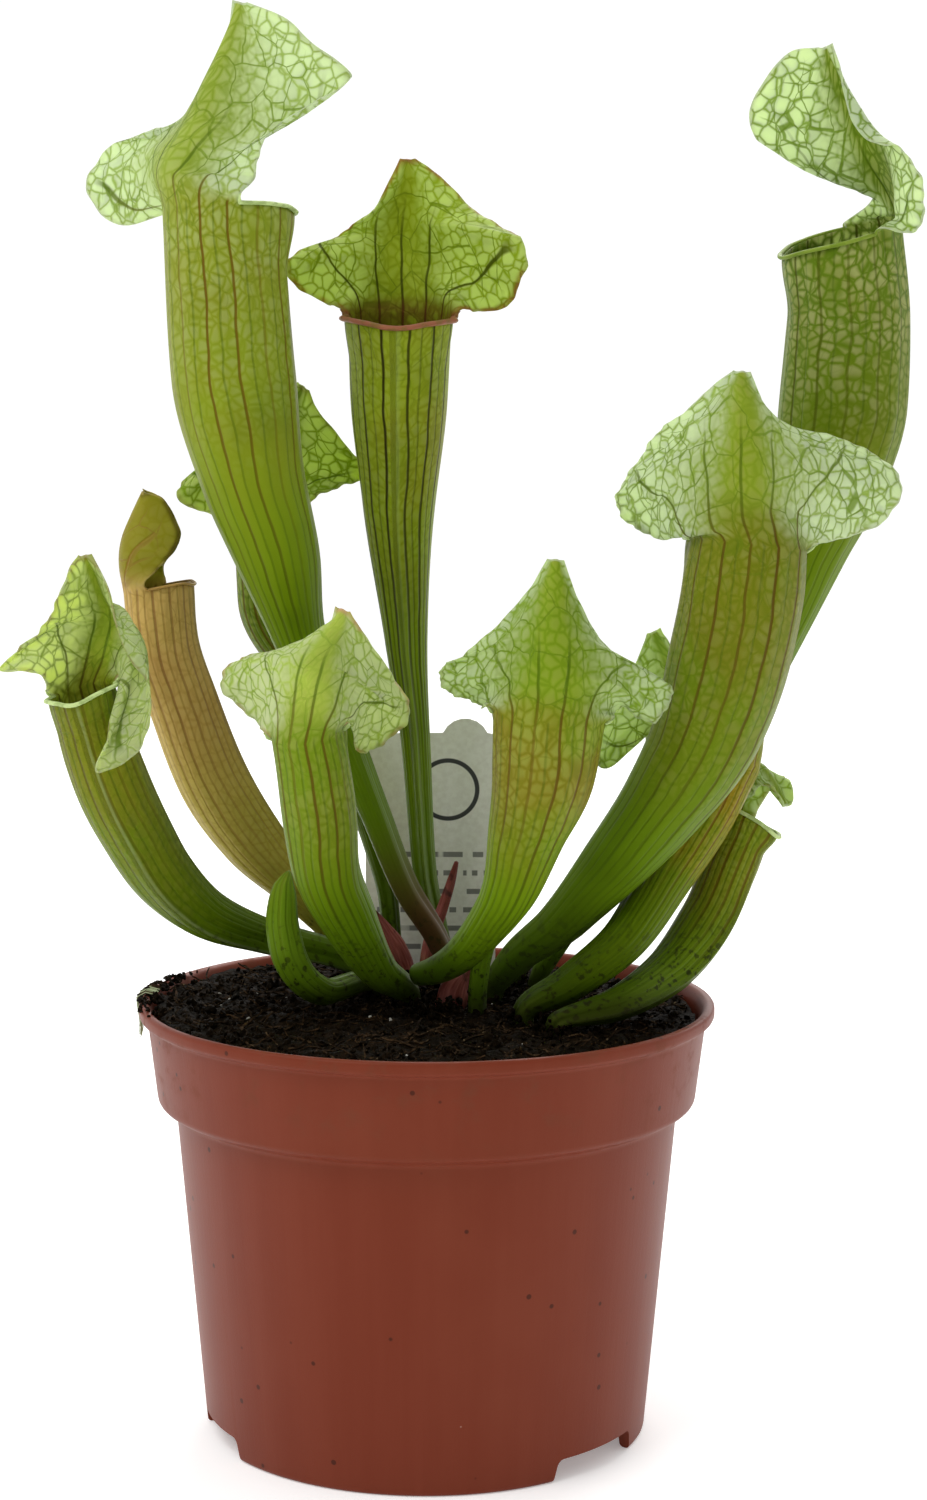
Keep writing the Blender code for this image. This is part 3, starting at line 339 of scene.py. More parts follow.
FRONT_LEG = dict(
    spine=[(10.5, -8, 80, 2.0), (10.5, -8, 92, 2.0), (11, -11, 99, 2.1), (12, -15, 105, 2.2)],
    facing=-60, flat=0.7, wing=0.2)

# %% [markdown]
# A curve through points must not swing past them, or a slim stem would bulge between
# two rings. The spines' slopes are therefore limited, as in a monotone spline. The
# edges of a hood's lobes keep full, round turns.

# %% Curves and frames


def unit(v):
    return v / np.maximum(np.linalg.norm(v, axis=-1, keepdims=True), 1e-9)


def step_up(x):
    x = np.clip(x, 0.0, 1.0)
    return x * x * (3 - 2 * x)


def stack(*values):
    """Numbers and arrays that fit one another, along the last axis of one array."""
    return np.stack(np.broadcast_arrays(*values), axis=-1)


def run_along(points, axis=0):
    """How far each point lies from the first one, along the line through them."""
    steps = np.linalg.norm(np.diff(points, axis=axis), axis=-1)
    return np.insert(np.cumsum(steps, axis=axis), 0, 0.0, axis=axis)


def limited(a, b, width_a, width_b):
    """The slope at a point between slopes a and b, so that no curve overshoots."""
    same = a * b > 0
    w1, w2 = 2 * width_b + width_a, width_b + 2 * width_a
    safe_a, safe_b = np.where(same, a, 1.0), np.where(same, b, 1.0)
    return np.where(same, (w1 + w2) / (w1 / safe_a + w2 / safe_b), 0.0)


def rounded_slope(a, b, width_a, width_b):
    return (a * width_b + b * width_a) / (width_b + width_a)


def curve(knots, points, at, slope_between):
    """Values at `at` on a cubic curve through the points."""
    points, knots = np.asarray(points, float), np.asarray(knots, float)
    at = np.clip(np.asarray(at, float), knots[0], knots[-1])
    width = np.diff(knots)[:, None]
    slope = np.diff(points, axis=0) / width
    inside = slope_between(slope[:-1], slope[1:], width[:-1], width[1:])
    tangent = np.vstack([slope[:1], inside, slope[-1:]])
    cell = np.clip(np.searchsorted(knots, at, side="right") - 1, 0, len(knots) - 2)
    h = width[cell]
    s = (at - knots[cell])[:, None] / h
    p0, p1, m0, m1 = points[cell], points[cell + 1], tangent[cell], tangent[cell + 1]
    return ((1 + 2 * s) * (1 - s) ** 2 * p0 + s * (1 - s) ** 2 * h * m0
            + s * s * (3 - 2 * s) * p1 + s * s * (s - 1) * h * m1)


def spine_frames(spine, facing, at):
    """Centre, radius, tangent, back and side at each parameter up a spine."""
    fine = np.linspace(0.0, 1.0, 121)
    spine = np.asarray(spine, float)
    knots = run_along(spine[:, :3])
    line = curve(knots / knots[-1], spine, fine, limited)
    tangent = unit(np.gradient(line[:, :3], axis=0))
    turn = math.radians(facing)
    current = -np.array([math.cos(turn), math.sin(turn), 0.0])
    back = np.zeros_like(tangent)
    for i in range(len(fine) - 1, -1, -1):
        current = unit(current - tangent[i] * np.dot(current, tangent[i]))
        back[i] = current

    def pick(values):
        return np.stack([np.interp(at, fine, column) for column in values.T], axis=1)

    line, tangent, back = pick(line), unit(pick(tangent)), unit(pick(back))
    return line[:, :3], line[:, 3], tangent, back, np.cross(tangent, back)


# %% [markdown]
# The tube's rings flare at the lip and dip at the front, and shallow flutes run up
# them between the long veins.

# %% Rings of the tube
HOOD_COLS, FRONT_COLS = 36, 28      # columns across a hood, and round the tube's front
TUBE_ROWS, LIP_ROWS = 96, 16        # rings of the tube, and how many lie near the lip
HOLLOW_FROM = 0.42        # how far up the solid stem turns into a hollow tube
VEINS_ROUND = 13          # long veins round a tube
FLUTE = 0.012             # depth of a flute, as a share of the radius
FRONT_DIP = 0.9           # how far the lip dips at the front, in millimetres
RIDGE_WIDTH = 0.42        # of the front ridge, in radians
RIDGE_LOST = 0.75         # share of the ridge that is gone at the mouth
FLARE, SPOUT = 1.1, 0.8   # how far the lip stands out in millimetres, and more in front


def angle_from_back(angles):
    return (angles + math.pi) % (2 * math.pi) - math.pi


def tube_angles(neck):
    half = math.radians(neck)
    hood = np.linspace(-half, half, HOOD_COLS + 1)
    front = np.linspace(half, 2 * math.pi - half, FRONT_COLS + 1)[1:-1]
    return np.concatenate([hood, front])


def tube_rings(leaf, rows, angles):
    centre, radius, tangent, back, side = spine_frames(leaf["spine"], leaf["facing"], rows)
    away = np.abs(angle_from_back(angles))
    front = math.pi - away
    wing = leaf["wing"] * step_up(rows / 0.2) * (1 - RIDGE_LOST * step_up((rows - 0.6) / 0.4))
    ridge = wing[:, None] * np.clip(1 - front / RIDGE_WIDTH, 0.0, 1.0) ** 1.5
    flare = (step_up((away - math.radians(leaf["neck"])) / 0.4)
             * (1 + leaf.get("spout", SPOUT) * np.exp(-(front / 0.5) ** 2))
             * leaf.get("flare", FLARE))
    flute = np.cos(angles * VEINS_ROUND) * (FLUTE * radius * step_up(rows / 0.3))[:, None]
    r = radius[:, None] + ridge + step_up((rows - 0.93) / 0.07)[:, None] * flare + flute
    lift = (math.tan(math.radians(leaf["tilt"])) * r * np.cos(angles)
            - FRONT_DIP * np.exp(-(front / 0.45) ** 2)) * step_up((rows - 0.7) / 0.3)[:, None]
    out = (np.cos(angles)[None, :, None] * back[:, None]
           + np.sin(angles)[None, :, None] * side[:, None])
    return centre[:, None] + r[..., None] * out + lift[..., None] * tangent[:, None], out


# %% [markdown]
# Each row of the hood is a bow from one edge over the rib to the other edge. Long
# waves along the edges come from the solids, and finer ones are added here, because a
# living margin is never quite smooth. A nib is a small point that a margin runs into.

# %% Rows of the hood
HOOD_ROWS = 84
BODY_SHARE = 0.46         # how much of a row's half keeps the curve of the tube
TIP_HALF = 1.5            # half the width of a hood's tip, in millimetres
FLANGE, FLANGE_OUT, FLANGE_RISE = 0.4, 1.7, 1.2
LOBE_BOW = 0.42           # how far a lobe keeps its first direction
TURNED = 0.22             # how far up the hood the rows leave the tube's direction
SLIM = 0.70               # how much narrower the middle of a row is at the tip
FOLLOW = 0.8              # how much the middle of a row follows the line of its edges
FINE_WAVES = ((0.28, 3.3), (0.18, 7.1))    # height, and waves to one long wave
SEED = 41


def grid_normals(grid):
    """Normals of an open grid, weighted by area, so that a pinched corner is harmless."""
    cell = np.cross(grid[1:, 1:] - grid[:-1, :-1], grid[1:, :-1] - grid[:-1, 1:])
    total = np.zeros_like(grid)
    for rows in (slice(None, -1), slice(1, None)):
        for cols in (slice(None, -1), slice(1, None)):
            total[rows, cols] += cell
    return unit(total)


def even(values, times):
    """Each value moves towards the mean of its neighbours."""
    for _ in range(times):
        padded = np.pad(values, ((1, 1), (1, 1), (0, 0)), mode="edge")
        values = (2 * values + padded[:-2, 1:-1] + padded[2:, 1:-1]
                  + padded[1:-1, :-2] + padded[1:-1, 2:]) / 6
    return values


def hood_lines(leaf, neck_row, centre, tangent, side):
    """Rows' heights and knots, with the rib and both edges drawn as curves."""
    rib, low, high = (np.asarray(leaf[k], float) for k in ("rib", "left", "right"))
    right_high = bool(np.dot(low[1] - rib[1], side) <= np.dot(high[1] - rib[1], side))
    if not right_high:
        low, high = high, low
    middle, run, across = neck_row[HOOD_COLS // 2], unit(rib[-1] - rib[-2]), high[-1] - low[-1]
    tip = TIP_HALF * unit(across - run * np.dot(across, run))
    whole = np.arange(1.0, len(rib) + 1)
    knots = np.concatenate([[0.0, FLANGE], whole]) / len(rib)
    edge_knots = np.concatenate([[0.0, FLANGE], whole[:-1], [whole[-1] - 0.45, whole[-1]]])
    v = np.linspace(0.0, 1.0, HOOD_ROWS + 1)
    ribs = np.vstack([middle, middle + FLANGE * (rib[0] - middle), rib])
    m = curve(knots, ribs, v, rounded_slope)
    lines = []
    for corner, edge, sign in ((neck_row[0], low, -1), (neck_row[-1], high, 1)):
        flange = corner + FLANGE_OUT * unit(corner - centre) + FLANGE_RISE * tangent
        lines.append(curve(edge_knots / len(rib),
                           np.vstack([corner, flange, edge, rib[-1] + sign * tip]), v,
                           rounded_slope))
    for edge, at, width, out in leaf.get("nibs", ()):
        line = lines[(edge == "right") == right_high]
        line += unit(line - m) * (out * np.exp(-np.abs(v - at) / width))[:, None]
    return v, knots, m, *lines


def hood_rows(leaf, neck_row, draws):
    centre, _, tangent, _, side = (part[0] for part in
                                   spine_frames(leaf["spine"], leaf["facing"], [1.0]))
    v, knots, m, lo, hi = hood_lines(leaf, neck_row, centre, tangent, side)

    # The middle of a row keeps the curve of the tube's back, and shrinks towards the
    # tip. From each side of it a lobe leaves in the same direction and bends outwards.
    early = step_up(v / leaf.get("turned", TURNED))[:, None]
    rise = unit((1 - early) * tangent + early * unit(np.gradient(m, axis=0)))
    follow = (FOLLOW * step_up(v / 0.4))[:, None]
    beam = (1 - follow) * side + follow * unit(hi - lo)
    beam = unit(beam - rise * (beam * rise).sum(axis=1, keepdims=True))
    behind = np.cross(beam, rise)
    half_angle = math.radians(leaf["neck"])
    turn_off = half_angle * BODY_SHARE
    shrink = (1 - leaf.get("slim", SLIM) * step_up(v / 1.05))[:, None]
    half = HOOD_COLS // 2
    round_back = np.linalg.norm(neck_row[half] - centre) * shrink
    fade = step_up(v / knots[2] / 1.3)[:, None]
    out = np.zeros((HOOD_ROWS + 1, HOOD_COLS + 1, 3))
    for edge, sign in ((lo, -1), (hi, 1)):
        reach = np.linalg.norm(edge - m, axis=1, keepdims=True)
        w = np.minimum(round_back, 0.5 * reach + 0.5 * round_back * (1 - fade))

        def bent(turn):
            return m + sign * beam * w * math.sin(turn) - behind * w * (1 - math.cos(turn))

        start = bent(turn_off)
        leave = sign * beam * math.cos(turn_off) - behind * math.sin(turn_off)
        handle = start + leave * np.linalg.norm(edge - start, axis=1, keepdims=True) * LOBE_BOW
        for k in range(half + 1):
            u = k / half
            row = bent(u * half_angle)
            row = row + (1 - early) * (neck_row[half + sign * k] - row[0])
            if u > BODY_SHARE:
                t = (u - BODY_SHARE) / (1 - BODY_SHARE)
                lobe = (1 - t) ** 2 * start + 2 * t * (1 - t) * handle + t * t * edge
                share = fade + (1 - fade) * t ** 3
                row = (1 - share) * row + share * lobe
            out[:, half + sign * k] = row
    keep = np.clip(v / 0.12, 0.0, 1.0)[:, None, None]
    out = keep * even(out, 2) + (1 - keep) * out
    out[0] = neck_row

    normal = even(grid_normals(out), 3)
    height, waves = leaf["ripple"]
    window = np.sin(math.pi * np.clip(v * 1.02, 0, 1)) ** 0.7
    seed = random.Random(SEED + int(abs(leaf["spine"][0][0] * 7 + leaf["facing"])))
    for sign in (-1, 1):
        phase = seed.uniform(0.0, 2 * math.pi)
        long_wave = height * np.sin(2 * math.pi * waves * v + phase)
        small = sum(deep * np.sin(2 * math.pi * (waves * rate * v + draws.random()))
                    for deep, rate in FINE_WAVES)
        for k in range(1, half + 1):
            share = k / half
            push = window * (long_wave * share ** 2.2 + small * share ** 5)
            out[:, half + sign * k] += normal[:, half + sign * k] * push[:, None]
    out[0] = neck_row
    return out, v


# %% [markdown]
# The finished leaf is one closed skin: the outside of tube and hood, the same again
# a wall's thickness further in, and a rounded edge between the two. Three attributes
# stay on its points for the shader: where a point lies among the long veins, how far
# it is up and round the leaf in millimetres, and how near it is to an edge.

# %% Putting a piece together


def face_out(mesh):
    """Turn all faces outwards."""
    bm = bmesh.new()
    bm.from_mesh(mesh)
    bmesh.ops.recalc_face_normals(bm, faces=bm.faces)
    if bm.calc_volume(signed=True) < 0:
        bmesh.ops.reverse_faces(bm, faces=bm.faces)
    bm.to_mesh(mesh)
    bm.free()


def new_mesh(name, points, faces, edges=()):
    """An object of that mesh, its points given in millimetres."""
    mesh = bpy.data.meshes.new(name)
    mesh.from_pydata((np.asarray(points) * MM).tolist(), edges, faces)
    return place_object(name, mesh)


class Skin:
    """Points, marks and faces of a grown piece."""

    def __init__(self):
        self.points, self.faces = [], []
        self.marks = {"flow": [], "skin": [], "zone": []}

    def add(self, grid, marks):
        """Take in a grid of points, and give their numbers row by row."""
        start = len(self.points)
        self.points.extend(grid.reshape(-1, 3).tolist())
        for store, values in zip(self.marks.values(), marks):
            store.extend(np.broadcast_to(values, grid.shape).reshape(-1, 3).tolist())
        return np.arange(start, len(self.points)).reshape(grid.shape[:2]).tolist()

    def sheet(self, rows, closed, flip=False):
        """Quads between each row of point numbers and the next."""
        for a, b in zip(rows, rows[1:]):
            for i in range(len(a) if closed else len(a) - 1):
                j = (i + 1) % len(a)
                quad = (a[i], a[j], b[j], b[i])
                self.faces.append(quad[::-1] if flip else quad)

    def piece(self, name, material):
        piece = new_mesh(name, self.points, self.faces)
        for key, values in self.marks.items():
            layer = piece.data.attributes.new(key, "FLOAT_VECTOR", "POINT")
            layer.data.foreach_set("vector", np.asarray(values, np.float32).ravel())
        piece.data.materials.append(material)
        piece.data.shade_smooth()
        face_out(piece.data)
        print(name, len(piece.data.polygons), "faces")
        return piece


# %% Building a leaf
LEAF_WALL = 0.55          # thickness of the leaf, in millimetres
MARGIN_THIN = 0.55        # share of that thickness that a hood's margin lacks
LIP_FROM = 0.9            # how far up the tube the rings of the lip begin
GATHER = 0.6              # how far the veins draw together towards a hood's tip
VEIN_GAP = (0.5, 14.0)    # narrowest and widest space between long veins, in millimetres
LIP_THICK = 0.62          # half the thickness of the rolled lip
LIP_SIDES = 10
LIP_RUN = 7               # how many rows of the hood's margin the lip runs out along
BEHIND_LIP = 30.0         # a distance that puts the tube's back out of the lip's reach


def add_lip(skin, leaf, tube, hood, out_dir, tube_top):
    """The rolled lip: a strand along the mouth that runs out on the hood's margins."""
    ways = out_dir[-1]
    path = np.vstack([hood[1:LIP_RUN + 1, -1][::-1], tube[-1, HOOD_COLS:], tube[-1, :1],
                      hood[1:LIP_RUN + 1, 0]])
    outward = np.vstack([np.tile(ways[HOOD_COLS], (LIP_RUN, 1)), ways[HOOD_COLS:], ways[:1],
                         np.tile(ways[0], (LIP_RUN, 1))])
    ends = np.minimum(np.arange(len(path)), np.arange(len(path))[::-1]) / LIP_RUN
    thick = leaf.get("lip", LIP_THICK) * (0.25 + 0.75 * step_up(ends))[:, None]
    upward = unit(np.cross(unit(np.gradient(path, axis=0)), outward))
    if np.dot(upward[len(path) // 2], hood[4, HOOD_COLS // 2] - hood[0, HOOD_COLS // 2]) < 0:
        upward = -upward
    turns = [2 * math.pi * j / LIP_SIDES for j in range(LIP_SIDES)]
    roll = np.stack([path + outward * thick * (0.55 + 0.9 * math.cos(a))
                     + upward * thick * (0.15 + 0.7 * math.sin(a)) for a in turns], axis=1)
    roll_at = skin.add(roll, ((0.5, tube_top, 4.0), (3.0, tube_top, 0.99), (0.0, 2.0, 0.0)))
    skin.sheet(roll_at, True)
    skin.faces += [tuple(roll_at[0][::-1]), tuple(roll_at[-1])]


def pitcher(name, leaf, material):
    angles = tube_angles(leaf["neck"])
    rows = np.concatenate([np.linspace(0, LIP_FROM, TUBE_ROWS - LIP_ROWS),
                           np.linspace(LIP_FROM, 1.0, LIP_ROWS + 1)[1:]])
    tube, out_dir = tube_rings(leaf, rows, angles)
    hood, v = hood_rows(leaf, tube[-1, :HOOD_COLS + 1], random.Random(name))
    half, v = HOOD_COLS // 2, v[:, None]
    normal = even(grid_normals(hood), 4)
    if np.dot(normal[3, half], out_dir[-1, half]) < 0:
        normal = -normal
    blend = np.clip(v / 0.10, 0.0, 1.0)[..., None]
    normal = unit(blend * unit(normal) + (1 - blend) * out_dir[-1, :HOOD_COLS + 1])
    s = np.linspace(-1.0, 1.0, HOOD_COLS + 1)
    inner_hood = hood - LEAF_WALL * (1 - MARGIN_THIN * np.abs(s) ** 6)[:, None] * normal
    first = int(np.searchsorted(rows, HOLLOW_FROM))
    inner = tube[first:] - LEAF_WALL * out_dir[first:]

    # How far up the leaf each row lies, and how far round each point is.
    up = run_along(np.vstack([tube[:, half], hood[1:, half]]))[:, None]
    tube_up, hood_up = up[:len(rows)], up[len(rows) - 1:]
    neck = math.radians(leaf["neck"])
    around = angle_from_back(angles)
    radius = np.linalg.norm(tube - tube.mean(axis=1, keepdims=True), axis=2).mean(axis=1)[:, None]
    over = run_along(hood, axis=1)
    hood_round = over - over[:, half:half + 1]
    hood_high = tube_up[-1] + run_along(hood)
    edge_run = np.where(s < 0, -hood_round[:, :1], hood_round[:, -1:])
    part = np.abs(hood_round) / edge_run
    fan = edge_run / edge_run[:1] / (1 - GATHER * v)
    across_hood = np.sign(s) * fan * part / (1 + (fan - 1) * part)
    across_hood = across_hood * (1 - GATHER * v) * neck / (2 * math.pi) * VEINS_ROUND
    spread = np.abs(np.gradient(hood_round, axis=1)) / np.maximum(
        np.abs(np.gradient(across_hood, axis=1)), 1e-3)
    rim = np.minimum(np.minimum(over, over[:, -1:] - over), hood_up[-1] - hood_up)

    def tube_marks(take, inside):
        far, r, high = tube_up[-1] - tube_up[take], radius[take], tube_up[take]
        return (stack(around / (2 * math.pi) * VEINS_ROUND, high, 2 * math.pi * r / VEINS_ROUND),
                stack(around * r, high, rows[take, None]),
                stack(far + BEHIND_LIP * (np.abs(around) < neck), inside, 0.0))

    def hood_marks(inside):
        return (stack(across_hood, hood_up, np.clip(spread, *VEIN_GAP))[1:],
                stack(hood_round, hood_high, 1 + v)[1:],
                stack(rim, inside, np.abs(s))[1:])

    skin = Skin()
    tube_at = skin.add(tube, tube_marks(slice(None), 0.0))
    hood_at = [tube_at[-1][:HOOD_COLS + 1]] + skin.add(hood[1:], hood_marks(0.0))
    inner_at = skin.add(inner, tube_marks(slice(first, None), 1.0))
    inner_hood_at = [inner_at[-1][:HOOD_COLS + 1]] + skin.add(inner_hood[1:], hood_marks(1.0))
    skin.sheet(tube_at, True)
    skin.sheet(inner_at, True, True)
    skin.sheet(hood_at, False)
    skin.sheet(inner_hood_at, False, True)
    for a, b, c, d in zip(hood_at, hood_at[1:], inner_hood_at, inner_hood_at[1:]):
        skin.faces += [(a[0], b[0], d[0], c[0]), (a[-1], c[-1], d[-1], b[-1])]
    skin.sheet([hood_at[-1], inner_hood_at[-1]], False)
    mouths = [ring[HOOD_COLS:] + ring[:1] for ring in (tube_at[-1], inner_at[-1])]
    skin.sheet(mouths, False)
    skin.faces += [tuple(tube_at[0][::-1]), tuple(inner_at[0])]
    add_lip(skin, leaf, tube, hood, out_dir, float(tube_up[-1, 0]))
    piece = skin.piece(name + "_leaf", material)
    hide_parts(name)
    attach(piece, "root")


# %% [markdown]
# ## The leaves' skin
#
# Three things draw a pitcher's skin. Long dark veins run up the tube and fan out to
# the hood's margin. Finer ones branch between them. The spaces in their net are pale
# windows with almost no green in them, small and long on the tube, round and bright
# in the hood's lobes, where light from behind comes through. The veins follow the
# leaf, so they read the attributes kept on its points and not a flat projection.

# %% Skin of a leaf
NET, BRANCHES = (0.46, 0.38), (0.15, 0.11)    # cells to a millimetre, round and up
WINDOWS = 350.0                               # cells to a metre in the lobes
PUSH = 0.002                                  # how far noise moves those cells' borders
# Painted shade: the stems are painted dark olive just above the peat, fully below the lower height
# and not at all above the upper one.
BASE_SHADE, SPECK, THROAT = (30, 34, 8), (20, 16, 8), (96, 40, 26)
BASE_SHADE_FULL, BASE_SHADE_NONE = 0.0900, 0.0990           # heights above the floor, in metres
SPLASH_FULL, SPLASH_NONE = 0.092, 0.118
FRONT_SEAM = VEINS_ROUND / 2                  # where the leaf's two edges meet


def leaf_finish(name, foot=(64, 90, 8), mid=(96, 126, 10), top=(120, 136, 24),
                rib=(118, 142, 24), pale=(228, 240, 200), net=(84, 114, 18),
                vein=(84, 48, 14), low_vein=(66, 92, 12), windows=(0.50, 0.95),
                space=(166, 178, 84), dots=0.55, netted=0.25, hood_light=0.80,
                rib_light=0.30, lobe_from=(0.20, 0.75), lobe_green=(168, 198, 96), mouth=0.0,
                tint=(140, 92, 34), tinted=0.3, edge=(150, 90, 60), edged=0.12,
                lip=(200, 220, 150), veined=0.85, glow=0.55, through=(204, 226, 66),
                foot_tint=(64, 90, 8), even_veins=0.45, seed=0.0):
    f = Finish(name)
    across, _, gap = f.attribute("flow")
    arc, high, height = f.attribute("skin")
    rim, side, share = f.attribute("zone")
    place = f.place
    blotch = f.noise(place, 60.0)
    wander = blotch - 0.5
    grain = f.noise(place, 420.0, 3.0)
    in_hood = height.ramp(1.0, 1.04)
    lobes = share.ramp(*lobe_from) * height.ramp(1.0, 1.12)
    rolled = side.ramp(1.4, 1.6)
    unrolled = 1.0 - rolled

    # Long veins, each with a strength of its own, and a finer one half-way between.
    line = across + wander * 0.45 + seed
    number = (line + 0.5).math("FLOOR")
    strong = f.node("ShaderNodeTexWhiteNoise", {"noise_dimensions": "1D"}, W=number)
    near = ((line + 0.5).math("FRACT") - 0.5).math("ABSOLUTE") * gap
    margin_near = rim.ramp(6.0, 1.2) * in_hood * unrolled
    strength = strong * (1.0 - even_veins) + even_veins
    strength = strength + (0.9 - strength) * height.ramp(1.0, 1.2)
    main = near.ramp(0.42, 0.12) * strength * height.ramp(0.15, 0.60) * height.ramp(1.85, 1.45)
    main = main * (1.0 - margin_near)
    between = (line.math("FRACT") - 0.5).math("ABSOLUTE") * gap
    fine = between.ramp(0.30, 0.08) * height.ramp(0.10, 0.50) * (1.0 - in_hood)

    # The net. Its spaces are dim on the tube and clear windows in the lobes. There a
    # few of them lie between each pair of thicker branches.
    bent = f.noise(place, 170.0)
    net_at = f.join(arc * NET[0] + wander * 0.9 + bent * 0.9, high * NET[1] + grain * 0.20, seed)
    spaces = f.cells(net_at, 1.0)
    pushed = f.node("ShaderNodeVectorMath", {"operation": "MULTIPLY_ADD"},
                    f.noise(place, 190.0, out=1), (PUSH, PUSH, PUSH), place)
    clear = f.cells(pushed, WINDOWS).ramp(0.0, 0.16)
    branch_at = f.join(arc * BRANCHES[0] + wander * 0.5 + bent * 0.5,
                       high * BRANCHES[1] + bent * 0.3, seed)
    branches = f.cells(branch_at, 1.0).ramp(0.026, 0.010) * height.ramp(0.80, 1.06)
    branches = branches * (1.0 - margin_near)
    patchy = f.noise(place, 110.0, 1.0).ramp(0.30, 0.62)
    with_windows = height.ramp(*windows)
    tube_mask = with_windows * (patchy * 0.70 + 0.30) * dots
    rib_mask = tube_mask + (rib_light - tube_mask) * height.ramp(1.05, 1.45)
    dot = spaces.ramp(0.0, 0.30)
    inner = dot + (clear - dot) * lobes
    mask = rib_mask + (hood_light - rib_mask) * lobes
    window = inner * mask * (1.0 - branches * 0.85) * (1.0 - main) * unrolled

    warm = f.noise(place, 45.0).ramp(0.40, 0.62) * height.ramp(0.50, 0.85)
    border = spaces.ramp(0.16, 0.03) * (1.0 - lobes) * with_windows
    vein_share = height.ramp(0.45, 0.85) * height.ramp(1.32, 1.02)
    throat = side.ramp(0.6, 0.9) * height.ramp(1.16, 1.02) * height.ramp(0.90, 0.99) * mouth
    worn = rim.ramp(1.6, 0.1) * f.noise(place, 150.0).ramp(0.40, 0.55) * in_hood * edged
    # Painted glow: the thin margin of a hood is painted pale, as light from behind would show it.
    painted_edge_glow = rim.ramp(0.55, 0.25) * in_hood * (1.0 - worn)
    # Painted highlight: a pale line along the front ridge, where the leaf's edges have grown
    # together.
    painted_seam_highlight = across.math("ABSOLUTE").ramp(FRONT_SEAM - 0.22, FRONT_SEAM - 0.08)
    painted_seam_highlight = painted_seam_highlight * (1.0 - in_hood) * unrolled
    level = place.parts()[2]
    splashed = level.ramp(SPLASH_NONE, SPLASH_FULL)
    specks = f.noise(place, 620.0, 3.0, 0.6).ramp(0.57, 0.62) * splashed
    spots = f.cells(place, 400.0, "F1").ramp(0.30, 0.22) * grain.ramp(0.50, 0.56) * splashed
    # Painted shade low on the stems, next to the peat.
    painted_base_shade = (level + wander * 0.004).ramp(BASE_SHADE_NONE, BASE_SHADE_FULL)
    colour = f.paint(
        foot_tint, (foot, height.ramp(0.14, 0.32)), (mid, height.ramp(0.10, 0.50)),
        (top, height.ramp(0.45, 0.92)), (rib, height.ramp(1.0, 1.25)),
        (foot, blotch.ramp(0.55, 0.25) * 0.30),
        (tint, warm * height.ramp(1.35, 1.05) * tinted),
        (lobe_green, lobes * hood_light * 0.6),
        (net, (1.0 - inner) * mask * lobes * 0.45 + border * netted),
        (f.paint(space, (pale, lobes)), window),
        (low_vein, fine * 0.45),
        (net, branches * (lobes * 0.25 + 0.40)),
        (f.paint(low_vein, (vein, vein_share)), main * veined),
        (THROAT, throat * (blotch * 0.8 + 0.4) * unrolled),
        (edge, worn),
        # the painted glow along the hood's margin
        (f.paint(net, (pale, 0.75)), painted_edge_glow * 0.6),
        (f.paint(lip, (net, grain.ramp(0.45, 0.62) * 0.4)), rolled),
        # the painted highlight along the front ridge
        (f.paint(mid, (pale, 0.25)), painted_seam_highlight * 0.4),
        # the painted shade at the foot of the stems, then peat specks
        (BASE_SHADE, painted_base_shade * 0.92), (SPECK, specks.math("MAXIMUM", spots)))

    relief = window * 0.4 - main * 0.8 - branches * 0.4 - fine * 0.5 + grain * 0.15
    skin = f.principled(colour, grain * 0.14 + 0.40, f.bump(relief, 0.5, 0.0005),
                        Specular_IOR_Level=0.28, Specular_Tint=(214, 230, 96))
    thin = (window * 0.75 * glow + 0.10 + lobes * 0.12) * (1.0 - main * 0.7)
    return f.done(skin, through, thin)


# %% [markdown]
# The leaves are of one plant but of different age and light, so each has its own
# colours: a young leaf is plain green, an old one goes tan with brown veins.

